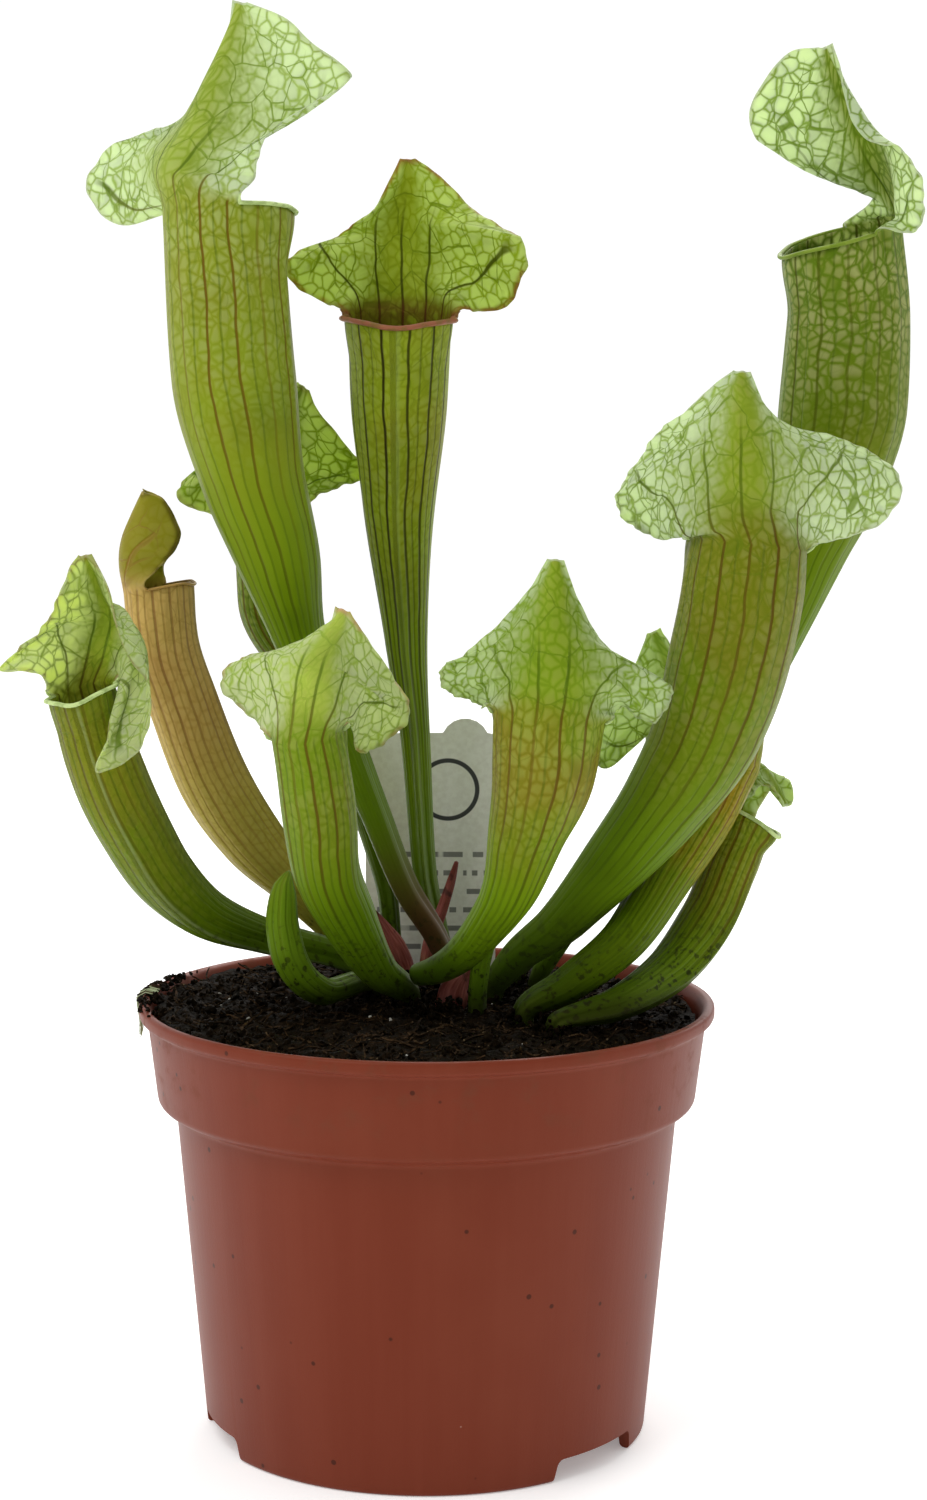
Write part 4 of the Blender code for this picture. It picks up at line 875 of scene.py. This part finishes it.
# %% Colours of each leaf
WHITISH, CLEAR = (246, 250, 238), (220, 240, 160)
LOOKS = {
    "pitcher_centre": dict(
        edge=(140, 62, 46), edged=0.95, vein=(26, 10, 8), rib=(148, 164, 28), hood_light=0.66,
        rib_light=0.3, pale=(220, 230, 160), tint=(140, 106, 30), mouth=0.9, net=(74, 98, 12),
        lip=(156, 92, 74), foot=(72, 104, 18), even_veins=0.8, top=(144, 160, 30),
        mid=(112, 138, 16), veined=0.98, low_vein=(46, 52, 8), lobe_green=(138, 166, 46)),
    "pitcher_tall_left": dict(
        windows=(0.66, 1.0), vein=(92, 44, 12), tinted=0.15, mid=(108, 138, 4),
        top=(138, 152, 36), rib=(152, 172, 58), rib_light=0.4, foot_tint=(82, 40, 34),
        pale=WHITISH, hood_light=0.8, through=CLEAR, dots=0.7, space=(184, 192, 118),
        lobe_from=(0.35, 0.9), lobe_green=(184, 210, 124)),
    "pitcher_tall_right": dict(
        windows=(0.7, 0.97), vein=(54, 50, 12), tinted=0.1, pale=WHITISH, netted=0.8,
        lip=(128, 148, 56), dots=0.9, space=(186, 186, 124), through=CLEAR, top=(104, 122, 16),
        hood_light=0.95, lobe_green=(142, 174, 66)),
    "pitcher_right": dict(
        windows=(0.5, 0.85), vein=(78, 42, 14), tinted=0.35, tint=(120, 92, 22),
        top=(108, 124, 14), foot=(58, 76, 6), pale=WHITISH, hood_light=1.0, through=CLEAR,
        rib=(134, 154, 36), space=(156, 158, 78), lobe_from=(0.12, 0.9), rib_light=0.4,
        lobe_green=(168, 196, 94), even_veins=0.7, low_vein=(70, 92, 16)),
    "pitcher_front": dict(
        mid=(122, 156, 18), foot=(96, 130, 10), tinted=0.5, rib=(122, 148, 26), hood_light=0.72,
        space=(170, 176, 84), lobe_green=(146, 178, 62), lobe_from=(0.3, 0.92),
        through=(212, 234, 110), pale=(238, 246, 220)),
    "pitcher_front_left": dict(
        mid=(104, 138, 14), edge=(206, 150, 122), edged=0.9, rib=(176, 196, 78),
        top=(112, 136, 20), tinted=0.15, hood_light=0.85, rib_light=0.4, pale=(248, 248, 220),
        space=(168, 180, 84), windows=(0.62, 0.95), through=(216, 234, 120),
        lobe_green=(182, 208, 98), net=(112, 144, 34)),
    "pitcher_left": dict(
        edge=(130, 60, 44), edged=0.6, vein=(64, 42, 10), windows=(0.4, 0.8), tinted=0.25,
        mid=(84, 108, 6), space=(140, 148, 50), hood_light=0.95, glow=0.75, rib=(140, 160, 44),
        pale=(246, 250, 216), through=(222, 236, 136), lobe_green=(190, 210, 122)),
    "pitcher_brown": dict(
        foot=(134, 134, 30), mid=(186, 170, 74), top=(206, 170, 98), rib=(140, 134, 32),
        pale=(210, 184, 116), vein=(96, 40, 20), veined=0.6, net=(150, 116, 56), hood_light=0.1,
        rib_light=0.05, low_vein=(140, 104, 44), lip=(180, 142, 82), dots=0.2,
        windows=(0.2, 0.5), tint=(168, 118, 66), tinted=0.4, edge=(70, 36, 18), edged=0.8,
        glow=0.2, foot_tint=(134, 134, 30), space=(210, 184, 116), lobe_green=(150, 138, 40)),
    "pitcher_back_left": dict(
        foot=(52, 76, 8), mid=(80, 104, 10), top=(96, 120, 22), rib=(96, 122, 22),
        hood_light=0.6, edge=(96, 60, 30), edged=0.6, pale=(222, 232, 160),
        lobe_green=(128, 156, 30)),
    "pitcher_behind": dict(
        mid=(96, 128, 28), rib=(124, 156, 50)),
    "pitcher_low_inner": dict(
        tint=(164, 116, 20), tinted=0.75, windows=(0.5, 0.9), vein=(98, 58, 16),
        space=(160, 150, 60), mid=(88, 112, 6), foot=(50, 72, 4)),
    "pitcher_low_outer": dict(
        windows=(0.6, 0.95), hood_light=0.7, edge=(130, 70, 40), edged=0.5, tinted=0.2,
        space=(150, 160, 70), mid=(88, 114, 6), foot=(50, 72, 4)),
}
for order, (leaf_name, leaf) in enumerate(LEAVES.items()):
    leaf_skin = leaf_finish(leaf_name + "_skin", seed=order * 0.37, **LOOKS[leaf_name])
    pitcher(leaf_name, leaf, leaf_skin)

# %% [markdown]
# ## Buds and the closed leaf
#
# Between the leaves stand red buds, the tips of next year's leaves, and one young
# pitcher is still closed. They are solid, and taper to a point.

# %% Solid pieces
HORN_SIDES, HORN_STEPS, HORN_VEINS = 28, 44, 7
HORN_TIP = 0.35           # how far the tip stands out, as a share of a step
HORN_FLUTE = 0.03         # depth of a flute, as a share of the radius
HORN_FLUTES = 6
HORN_RIDGE = 0.6          # width of the front ridge, in radians


def horn(name, spec, material, node, mouth=1.0):
    rows = np.linspace(0.0, 1.0, HORN_STEPS)[:, None]
    centre, radius, _, back, side = spine_frames(spec["spine"], spec["facing"], rows[:, 0])
    angles = np.arange(HORN_SIDES) * 2 * math.pi / HORN_SIDES
    around, radius = angle_from_back(angles), radius[:, None]
    ridge = np.clip(1 - (math.pi - np.abs(around)) / HORN_RIDGE, 0.0, 1.0)
    r = radius * (1 + HORN_FLUTE * np.cos(angles * HORN_FLUTES))
    wing = spec["wing"] * ridge * step_up(rows / 0.25)
    across = (np.sin(angles) * r)[..., None] * side[:, None]
    deep = np.cos(angles) * r * spec["flat"] - wing * (r > 1.0)
    grid = centre[:, None] + across + deep[..., None] * back[:, None]
    up = run_along(centre)[:, None]
    skin = Skin()
    ring = skin.add(grid, (
        stack(around * HORN_VEINS / (2 * math.pi), up, 2 * math.pi * radius / HORN_VEINS),
        stack(around * radius, up, rows * mouth), (BEHIND_LIP, 0.0, 0.0)))
    skin.sheet(ring, True)
    tip = grid[-1].mean(axis=0)
    skin.points.append((tip + HORN_TIP * (tip - grid[-2].mean(axis=0))).tolist())
    for values in skin.marks.values():
        values.append(values[-1])
    skin.sheet([ring[-1], [len(skin.points) - 1] * HORN_SIDES], True)
    skin.faces[-HORN_SIDES:] = [face[:3] for face in skin.faces[-HORN_SIDES:]]
    skin.faces.append(tuple(ring[0][::-1]))
    piece = skin.piece(name, material)
    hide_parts(node)
    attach(piece, "root")


def bud_finish():
    """Dusky red scales, greener at the foot, with fine lengthwise streaks."""
    f = Finish("bud_skin")
    across, up, _ = f.attribute("flow")
    height = f.attribute("skin")[2]
    streak = f.noise(f.join(across * 3.0, up * 0.12), 1.6, 3.0)
    patch = f.noise(f.place, 260.0, 3.0)
    level = f.place.parts()[2]
    colour = f.paint(
        (124, 56, 48), ((176, 102, 90), streak.ramp(0.30, 0.80)),
        ((150, 132, 62), height.ramp(0.50, 0.20) * 0.5 * patch.ramp(0.4, 0.6)),
        ((80, 28, 24), height.ramp(0.75, 1.0) * 0.6),
        ((30, 20, 14), patch.ramp(0.62, 0.70) * 0.7),
        # Painted shade: darker at the foot, next to the peat.
        ((30, 16, 10), level.ramp(0.0925, 0.0885) * 0.8))
    normal = f.bump(streak + patch * 0.5, 0.5, 0.0004)
    skin = f.principled(colour, patch * 0.15 + 0.42, normal, Specular_IOR_Level=0.25)
    return f.done(skin, (196, 96, 70), 0.12)


bud_skin = bud_finish()
young_skin = leaf_finish("young_skin", mid=(94, 126, 18), top=(106, 136, 26),
                         windows=(0.9, 1.0), dots=0.1, veined=0.3, seed=0.2)
strip_skin = leaf_finish("strip_skin", foot=(84, 118, 18), mid=(110, 146, 26),
                         windows=(0.9, 1.0), dots=0.1, veined=0.2, seed=0.6)
horn("young_leaf", HORNS["pitcher_closed"], young_skin, "pitcher_closed", 0.8)
horn("front_strip", FRONT_LEG, strip_skin, "pitcher_front", 0.5)
for bud in ("bud_thin", "bud_left", "bud_front"):
    horn(bud + "_scale", HORNS[bud], bud_skin, bud)

# %% [markdown]
# ## The peat
#
# Potting peat is crumbs and fibres, not a smooth fill. The body of it is turned up
# from a circle with extrude and inset, and its top points are then moved by a
# formula. Loose crumbs and fibres are strewn on it, and spill over the rim at the left.

# %% Peat body
SOIL_Z, SOIL_MOUND, SOIL_ROUGH, SOIL_CLODS = 88.2, 1.0, 0.9, 1.1
SOIL_FOOT = (7.0, 43.2)   # height, radius
WALL_ROWS = ((69.0, 50.3), (71.8, 54.0), (84.5, 55.3), (88.6, 56.0))
SOIL_SIDES, SOIL_STEP, SOIL_EYE = 168, 0.9, 1.6
SPILL_TURN = 2.9          # radians from +X, where the peat reaches the rim


def soil_height(x, y):
    """Height of the peat at a place, all in millimetres."""
    mound = SOIL_MOUND * math.exp(-((x - 4) ** 2 + (y - 12) ** 2) / 400.0)
    lumps = (math.sin(0.31 * x + 1.3) * math.cos(0.27 * y - 0.4)
             + 0.6 * math.sin(0.53 * x - 0.61 * y + 2.0)
             + 0.4 * math.cos(0.83 * x + 0.47 * y))
    clods = noise.fractal(Vector((x * 0.22, y * 0.22, 3.1)), 0.9, 2.1, 5)
    edge = step_up((math.hypot(x, y) - 44) / 12)
    toward = math.cos(math.atan2(y, x) - SPILL_TURN)
    rise = edge * (1.2 * max(0.0, toward) ** 2 - 0.9 * max(0.0, -toward))
    return SOIL_Z + mound + SOIL_ROUGH * 0.5 * lumps + SOIL_CLODS * clods + rise


def edit_mode(on):
    bpy.ops.object.mode_set(mode="EDIT" if on else "OBJECT")
    if on:
        bpy.ops.mesh.select_all(action="SELECT")


def select_only(thing=None):
    if bpy.context.object and bpy.context.object.mode == "EDIT":
        edit_mode(False)
    bpy.ops.object.select_all(action="DESELECT")
    if thing:
        thing.select_set(True)
        bpy.context.view_layer.objects.active = thing


def make_soil_body():
    select_only()
    height, radius = SOIL_FOOT
    bpy.ops.mesh.primitive_circle_add(vertices=SOIL_SIDES, radius=radius * MM,
                                      fill_type="NGON", location=(0, 0, height * MM))
    body = bpy.context.object
    body.name = "peat_body"
    bpy.ops.object.transform_apply(location=True, rotation=False, scale=False)
    edit_mode(True)
    for z, r in WALL_ROWS:
        bpy.ops.mesh.extrude_region_move(
            TRANSFORM_OT_translate={"value": (0, 0, (z - height) * MM)})
        bpy.ops.transform.resize(value=(r / radius, r / radius, 1.0), center_override=(0, 0, 0))
        height, radius = z, r
    while radius > SOIL_EYE:
        step = SOIL_STEP if radius > 3 else radius * 0.3
        bpy.ops.mesh.inset(thickness=step * MM, use_even_offset=False)
        radius -= step
    bpy.ops.mesh.poke()
    edit_mode(False)
    for vertex in body.data.vertices:
        x, y, z = (c / MM for c in vertex.co)
        if z > height - 0.1:
            vertex.co.z = soil_height(x, y) * MM
    body.data.shade_smooth()
    face_out(body.data)
    return body


def peat_finish(name, dark, light, tan):
    """Damp peat: nearly black between the crumbs, brown where it has dried."""
    f = Finish(name)
    crumbs = f.cells(f.place, 900.0, "F1")
    clods = f.noise(f.place, 330.0, 5.0, 0.65)
    along = f.node("ShaderNodeVectorMath", {"operation": "MULTIPLY"}, f.place, (1.0, 0.25, 1.0))
    fibres = f.noise(along, 1500.0, 4.0, 0.6)
    colour = f.paint(dark, (light, clods.ramp(0.42, 0.70)), (tan, fibres.ramp(0.60, 0.72) * 0.45))
    normal = f.bump(clods + fibres * 0.4 - crumbs * 0.5, 0.9, 0.0012)
    return f.done(f.principled(colour, clods * 0.3 + 0.72, normal, Specular_IOR_Level=0.12,
                               Specular_Tint=(220, 190, 150)))


peat_skin = peat_finish("peat_skin", (6, 4, 2), (28, 19, 10), (96, 72, 44))
soil_body = make_soil_body()
soil_body.data.materials.append(peat_skin)
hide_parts("soil")
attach(soil_body, "root")
print("peat body", len(soil_body.data.polygons), "faces")

# %% Crumbs and fibres of peat
CRUMBS, CRUMB_REACH = 3000, 55.2
SPILLED, HEAPED = 120, 64           # crumbs over the rim, and round each stem
FIBRES, FIBRE_REACH, PEAT_EDGE = 420, 54.0, 57.5
BITS, BIT_REACH = 26, 52.0
COARSE = 0.15                       # share of the crumbs that are coarse
SPILL_RING, SPILL_LOW = (55.5, 60.2), 90.8    # where crumbs lie on the rim
HEAP = 3.4                          # height of the crumbs round a stem
FIBRE_STEPS, HANG_STEPS = 6, 8      # pieces of a lying and of a hanging thread
strewn = random.Random(7)


def crumb_template():
    """One irregular crumb, about one millimetre across."""
    select_only()
    bpy.ops.mesh.primitive_ico_sphere_add(subdivisions=1, radius=0.5 * MM)
    template = bpy.context.object
    points = np.array([vertex.co[:] for vertex in template.data.vertices]) / MM
    faces = [tuple(face.vertices) for face in template.data.polygons]
    bpy.data.objects.remove(template)
    return points, faces


def on_circle(radius, turn, *above):
    return (radius * math.cos(turn), radius * math.sin(turn), *above)


def on_soil(reach):
    """A random place on the peat, out to a radius."""
    radius = reach * math.sqrt(strewn.random())
    x, y = on_circle(radius, strewn.uniform(0, 2 * math.pi))
    return x, y, soil_height(x, y)


def joined(name, pieces, material):
    points, faces = [], []
    for piece_points, piece_faces in pieces:
        faces.extend(tuple(len(points) + i for i in face) for face in piece_faces)
        points.extend(piece_points)
    piece = new_mesh(name, points, faces)
    piece.data.materials.append(material)
    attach(piece, "root")
    print(name, len(faces), "faces")


def crumb(template, place, size):
    points, faces = template
    turn = np.array(Euler([strewn.uniform(0, 6.3) for _ in range(3)]).to_matrix())
    lumps = np.array([1 + strewn.uniform(-0.3, 0.3) for _ in points])[:, None]
    shape = [strewn.uniform(*span) for span in ((0.6, 1.5), (0.6, 1.2), (0.5, 0.9))]
    return ((points * lumps * shape * size) @ turn.T + np.array(place)).tolist(), faces


def thread(line, radius, sides=4):
    """A thin tube along points, closed at both ends."""
    line = np.asarray(line, float)
    tangent = unit(np.gradient(line, axis=0))
    side = unit(np.cross(tangent, (0.13, 0.21, 1.0)))
    angles = (2 * math.pi * np.arange(sides) / sides)[:, None]
    ways = np.cos(angles) * side[:, None] + np.sin(angles) * np.cross(tangent, side)[:, None]
    thin = radius * (1 - 0.6 * np.arange(len(line)) / len(line))
    tube = Skin()
    ring = tube.add(line[:, None] + thin[:, None, None] * ways, ())
    tube.sheet(ring, True)
    return tube.points, tube.faces + [tuple(ring[0][::-1]), tuple(ring[-1])]


def lying_fibre(reach, length):
    """A fibre on the peat: it wanders, and follows the ground with its ends lifted."""
    x, y, _ = on_soil(reach)
    turn = strewn.uniform(0, 2 * math.pi)
    bend = strewn.uniform(-0.25, 0.25)
    lift = strewn.uniform(0.2, 1.6)
    line = []
    for k in range(FIBRE_STEPS + 1):
        share = k / FIBRE_STEPS
        if math.hypot(x, y) > PEAT_EDGE:
            break
        line.append((x, y, soil_height(x, y) + 0.15 + lift * share ** 2))
        x += length / FIBRE_STEPS * math.cos(turn)
        y += length / FIBRE_STEPS * math.sin(turn)
        turn += bend + strewn.uniform(-0.2, 0.2)
    return line


def two_tone(name, dark, light, scale, detail, roughness):
    f = Finish(name)
    colour = f.paint(dark, (light, f.noise(f.place, scale, detail)))
    return f.done(f.principled(colour, roughness))


template = crumb_template()
crumbs = []
for _ in range(CRUMBS):
    x, y, z = on_soil(CRUMB_REACH)
    size = strewn.uniform(0.5, 1.3) if strewn.random() < 1 - COARSE else strewn.uniform(1.3, 2.6)
    crumbs.append(crumb(template, (x, y, z + 0.15 * size), size))
for _ in range(SPILLED):
    turn = SPILL_TURN + strewn.gauss(0.15, 0.22)
    radius = strewn.uniform(*SPILL_RING)
    height = max(soil_height(*on_circle(55, turn)), SPILL_LOW) + strewn.uniform(-0.2, 0.4)
    crumbs.append(crumb(template, on_circle(radius, turn, height), strewn.uniform(0.6, 1.6)))
for stem in [*LEAVES.values(), *HORNS.values()]:
    x0, y0, _, radius = stem["spine"][1]
    for _ in range(HEAPED):
        turn, reach = strewn.uniform(0, 2 * math.pi), radius + abs(strewn.gauss(0.2, 1.8))
        x, y = x0 + reach * math.cos(turn), y0 + reach * math.sin(turn)
        rise = max(0.0, HEAP - 0.8 * (reach - radius)) * strewn.random()
        crumbs.append(crumb(template, (x, y, soil_height(x, y) + 0.2 + rise),
                            strewn.uniform(0.7, 1.9)))
joined("peat_crumbs", crumbs, peat_skin)
fibre_skin = peat_finish("fibre_skin", (26, 18, 11), (70, 52, 34), (150, 130, 98))
fibres = []
for _ in range(FIBRES):
    line = lying_fibre(FIBRE_REACH, strewn.uniform(3.0, 11.0))
    if len(line) > 3:
        fibres.append(thread(line, strewn.uniform(0.12, 0.42)))
joined("peat_fibres", fibres, fibre_skin)
bits = [crumb(template, on_soil(BIT_REACH), strewn.uniform(0.5, 0.9)) for _ in range(BITS)]
bit_skin = two_tone("mineral_bits", (150, 146, 134), (206, 204, 196), 900.0, 2.0, 0.6)
joined("mineral_bits", bits, bit_skin)

# %% [markdown]
# A few root threads and a wisp of pale moss hang over the rim at the left.

# %% Hanging threads
HANG_TURN = 3.02          # radians from +X
RIM_Z, HANG_FROM, HANG_OUT = 91.0, 57.0, 3.6


def hanging(turn, length, sway):
    line = []
    for k in range(HANG_STEPS + 1):
        share = k / HANG_STEPS
        radius = HANG_FROM + HANG_OUT * min(share * 4, 1.0) + 0.3 * math.sin(6 * share + sway)
        z = RIM_Z + 0.5 * math.sin(math.pi * min(share * 4, 1.0)) - length * max(share - 0.2, 0.0)
        line.append(on_circle(radius, turn + 0.012 * sway * share, z))
    return line


def hang(name, count, turn, spread, lengths, radii, material):
    joined(name, [thread(hanging(turn + strewn.gauss(0.0, spread), strewn.uniform(*lengths),
                                 strewn.uniform(-1, 1)), strewn.uniform(*radii))
                  for _ in range(count)], material)


hang("hanging_roots", 12, HANG_TURN, 0.05, (4, 11), (0.16, 0.34), fibre_skin)
moss_skin = two_tone("moss_skin", (120, 136, 84), (198, 206, 170), 600.0, 3.0, 0.8)
hang("moss_wisp", 16, HANG_TURN + 0.05, 0.03, (6, 13), (0.12, 0.22), moss_skin)

# %% [markdown]
# ## The pot
#
# The pot was moulded in one shot: a thin tapered wall, a collar, and a bead round the
# rim. Half of its section is drawn as a line of edges and spun round the axis. The
# drain holes and the openings in the foot are cut with Boolean modifiers.

# %% Pot body
RIM, HEIGHT, FOOT, NECK, BAND_Z, BAND, BAND_TOP = 60.0, 90.6, 46.2, 52.4, 70.3, 56.1, 58.2
BEAD, WALL, FLOOR, PAD = 2.6, 1.2, 6.5, 15.0
CUTOUT_TURNS = (-70.0, 50.0, 170.0)
CUTOUT_HALF, CUTOUT_TOP, CUTOUT_DEEP, CUTOUT_NARROW = 17.0, 4.6, 0.016, 0.86
DRAINS, DRAIN_CIRCLE, DRAIN_RADIUS = 6, 30, 4.2
SPIN_STEPS, CORNER_ROUND, SHARP = 180, 1.1, 40


def rounded(points, radius, steps=4):
    """The same outline with each inner corner replaced by a short arc."""
    out = [points[0]]
    for before, corner, after in zip(points, points[1:], points[2:]):
        c = Vector(corner)
        a, b = Vector(before) - c, Vector(after) - c
        cut = min(radius, a.length * 0.45, b.length * 0.45)
        start, end = c + a.normalized() * cut, c + b.normalized() * cut
        for k in range(steps + 1):
            t = k / steps
            out.append(tuple((1 - t) ** 2 * start + 2 * t * (1 - t) * c + t * t * end))
    return out + [points[-1]]


def pot_section():
    """Half of the pot's section, from the pad over the outside to the floor."""
    rim_low, under, inner = HEIGHT - BEAD, FLOOR - WALL, FOOT - WALL - 0.3
    return [(0.0, 0.0), (PAD, 0.0), (PAD + 0.8, under), (inner - 1.0, under),
            (inner - 0.8, 0.0), (FOOT, 0.0), (NECK, BAND_Z - 1.6), (BAND, BAND_Z),
            (BAND_TOP, rim_low - 0.6), (RIM, rim_low), (RIM, HEIGHT), (RIM - 2.0, HEIGHT),
            (BAND_TOP - WALL, HEIGHT - 2.2), (BAND - WALL + 0.3, BAND_Z + 1.0),
            (NECK - WALL, BAND_Z - 1.0), (inner + 0.1, FLOOR), (0.0, FLOOR)]


def make_pot():
    select_only()
    outline = rounded(pot_section(), CORNER_ROUND)
    pot = new_mesh("pot_shell", [(x, 0.0, z) for x, z in outline], [],
                   [(i, i + 1) for i in range(len(outline) - 1)])
    select_only(pot)
    edit_mode(True)
    bpy.ops.mesh.spin(steps=SPIN_STEPS, angle=2 * math.pi, center=(0, 0, 0), axis=(0, 0, 1))
    bpy.ops.mesh.select_all(action="SELECT")
    bpy.ops.mesh.remove_doubles(threshold=0.00001)
    bpy.ops.mesh.normals_make_consistent(inside=False)
    edit_mode(False)
    return pot


def cut(body, cutter):
    select_only(body)
    modifier = body.modifiers.new("cut", "BOOLEAN")
    modifier.operation, modifier.solver, modifier.object = "DIFFERENCE", "EXACT", cutter
    bpy.ops.object.modifier_apply(modifier="cut")
    bpy.data.objects.remove(cutter)


def foot_opening(turn):
    """A block that takes one opening out of the foot, narrower at its top."""
    select_only()
    middle = math.radians(turn)
    radius = FOOT * MM
    width = 2 * math.sin(math.radians(CUTOUT_HALF)) * radius
    bpy.ops.mesh.primitive_cube_add(
        size=1.0, location=(radius * math.sin(middle), -radius * math.cos(middle), 0.0),
        rotation=(0, 0, middle))
    block = bpy.context.object
    block.scale = (width, CUTOUT_DEEP, 2 * CUTOUT_TOP * MM)
    bpy.ops.object.transform_apply(location=False, rotation=False, scale=True)
    for vertex in block.data.vertices:
        if vertex.co.z > 0:
            vertex.co.x *= CUTOUT_NARROW
    bevel = block.modifiers.new("round", "BEVEL")
    bevel.width, bevel.segments = 0.0012, 3
    bpy.ops.object.modifier_apply(modifier="round")
    return block


def drain(turn):
    select_only()
    bpy.ops.mesh.primitive_cylinder_add(
        vertices=36, radius=DRAIN_RADIUS * MM, depth=8 * MM,
        location=on_circle(DRAIN_CIRCLE * MM, turn, 6 * MM))
    return bpy.context.object


pot = make_pot()
for turn in CUTOUT_TURNS:
    cut(pot, foot_opening(turn))
for k in range(DRAINS):
    cut(pot, drain(2 * math.pi * (k + 0.5) / DRAINS))
select_only(pot)
bpy.ops.object.shade_smooth_by_angle(angle=math.radians(SHARP))
print("pot", len(pot.data.polygons), "faces")

# %% [markdown]
# The plastic is semi-matte. It shines softly only where it turns away from the eye,
# and it is not clean: flow marks from the mould, peat dust and splashed specks.

# %% Plastic of the pot
SPECKS = 190.0            # cells to a metre; few of them hold a speck


def pot_finish():
    f = Finish("pot_plastic_skin")
    place = f.place
    x, y, z = place.parts()
    turn = x.math("ARCTAN2", y)
    flow = f.noise(f.join(turn * 6.0, z * 9.0, 0.4), 1.4, 3.0, 0.55)
    cloud = f.noise(place, 26.0, 3.0)
    grain = f.noise(place, 2600.0)
    dust = f.noise(place, 160.0, 4.0, 0.65).ramp(0.50, 0.75) * z.ramp(0.060, 0.092)
    spot = f.cells(place, SPECKS, "F1")
    red, green, _ = f.cells(place, SPECKS, "F1", out=1).parts()
    dark_spot = spot.ramp(0.13, 0.08) * red.ramp(0.55, 0.57)
    pale_spot = spot.ramp(0.10, 0.07) * green.ramp(0.985, 0.99)
    colour = f.paint(
        (111, 47, 30), ((114, 50, 33), flow.ramp(0.30, 0.70)),
        ((120, 58, 40), cloud.ramp(0.50, 0.75) * 0.35), ((96, 66, 48), dust * 0.35),
        ((58, 26, 18), dark_spot * 0.85), ((216, 190, 172), pale_spot))
    scratch = f.noise(f.join(turn * 40.0, z * 30.0, 2.0), 1.0, 4.0, 0.7)
    normal = f.bump(grain * 0.3 + scratch * 0.4 + cloud, 0.12, 0.0006)
    rough = cloud * 0.10 + 0.40 + dust * 0.25
    return f.done(f.principled(colour, rough, normal, Specular_IOR_Level=0.20,
                               Specular_Tint=(255, 200, 176)))


pot.data.materials.clear()
pot.data.materials.append(pot_finish())
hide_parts("pot")
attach(pot, "root")

# %% [markdown]
# ## The label
#
# The card keeps its solid. It carries a plain design of its own: rows of bars where
# care notes would stand, and a ring for the sun.

# %% Card
RING_X, RING_Z, RING_RADIUS = 0.004, 0.129, 0.0065
ROWS = 240.0              # rows of bars to a metre
INK = (52, 52, 54)


def label_finish():
    f = Finish("label_card")
    x, _, z = f.place.parts()
    grain = f.noise(f.place, 900.0, 3.0)
    from_x, from_z = x - RING_X, z - RING_Z
    ring = (from_x * from_x + from_z * from_z).math("SQRT") - RING_RADIUS
    ring = ring.math("ABSOLUTE").ramp(0.0006, 0.0004)
    row = (z * ROWS).math("FRACT")
    bars = row.ramp(0.30, 0.34) * row.ramp(0.62, 0.58) * z.ramp(0.1155, 0.115)
    words = f.noise(f.join(x * 420.0, (z * ROWS).math("FLOOR") * 3.7), 1.0, 0.0)
    side = x.math("ABSOLUTE").ramp(0.0125, 0.0122)
    colour = f.paint((232, 229, 222), ((242, 240, 234), grain.ramp(0.3, 0.7)),
                     (INK, ring + bars * words.ramp(0.44, 0.47) * side * 0.75))
    return f.done(f.principled(colour, grain * 0.1 + 0.5, f.bump(grain, 0.08, 0.0003)))


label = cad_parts["label"]
label.data.materials.clear()
label.data.materials.append(label_finish())

# %% [markdown]
# ## Light and floor
#
# White all round, as in a light tent, so that the hoods glow from behind. The side
# where the camera stands is darker, which keeps the colours of the front deep. A
# large soft lamp from the upper left gives the pot and the tubes their shape, and a
# second one behind the plant shines through the hoods.

# %% Stage
AIM = Vector((0, 0, 0.14))
LAMPS = {"upper_left": ((-0.6, -0.5, 1.2), 0.7, 7.0),      # place, size, watts
         "behind": ((0.3, 1.0, 0.9), 0.9, 8.0)}
TENT_SEEN, TENT_FRONT, TENT_BACK = 1.05, 0.35, 1.0
FLOOR_SIZE, FLOOR_GLOW = 8.0, 0.25


def make_floor():
    select_only()
    bpy.ops.mesh.primitive_plane_add(size=FLOOR_SIZE, location=(0, 0, 0))
    floor = bpy.context.object
    floor.name = "floor"
    f = Finish("floor_paper")
    floor.data.materials.append(f.done(f.principled(
        (250, 250, 249), 0.9, Emission_Color=(255, 255, 255), Emission_Strength=FLOOR_GLOW)))


def make_tent():
    """The world: plain white to the camera, and darker from the front as a light."""
    tent = Finish("tent", bpy.data.worlds, "World")
    y = tent.node("ShaderNodeTexCoord").parts()[1]
    shade = tent.node("ShaderNodeMapRange", None, y, -0.9, 0.1, TENT_FRONT, TENT_BACK)
    seen = tent.node("ShaderNodeLightPath")
    strength = tent.node("ShaderNodeMix", None, seen, None, shade, TENT_SEEN)
    return tent.done(tent.node("ShaderNodeBackground", None, (255, 255, 255), strength))


make_floor()
bpy.context.scene.world = make_tent()
for lamp_name, (place, size, power) in LAMPS.items():
    light = bpy.data.lights.new(lamp_name, "AREA")
    light.energy, light.size = power, size
    lamp = place_object(lamp_name, light)
    lamp.location = place
    lamp.rotation_euler = (AIM - Vector(place)).to_track_quat("-Z", "Y").to_euler()
bpy.context.scene.view_settings.view_transform = "Standard"
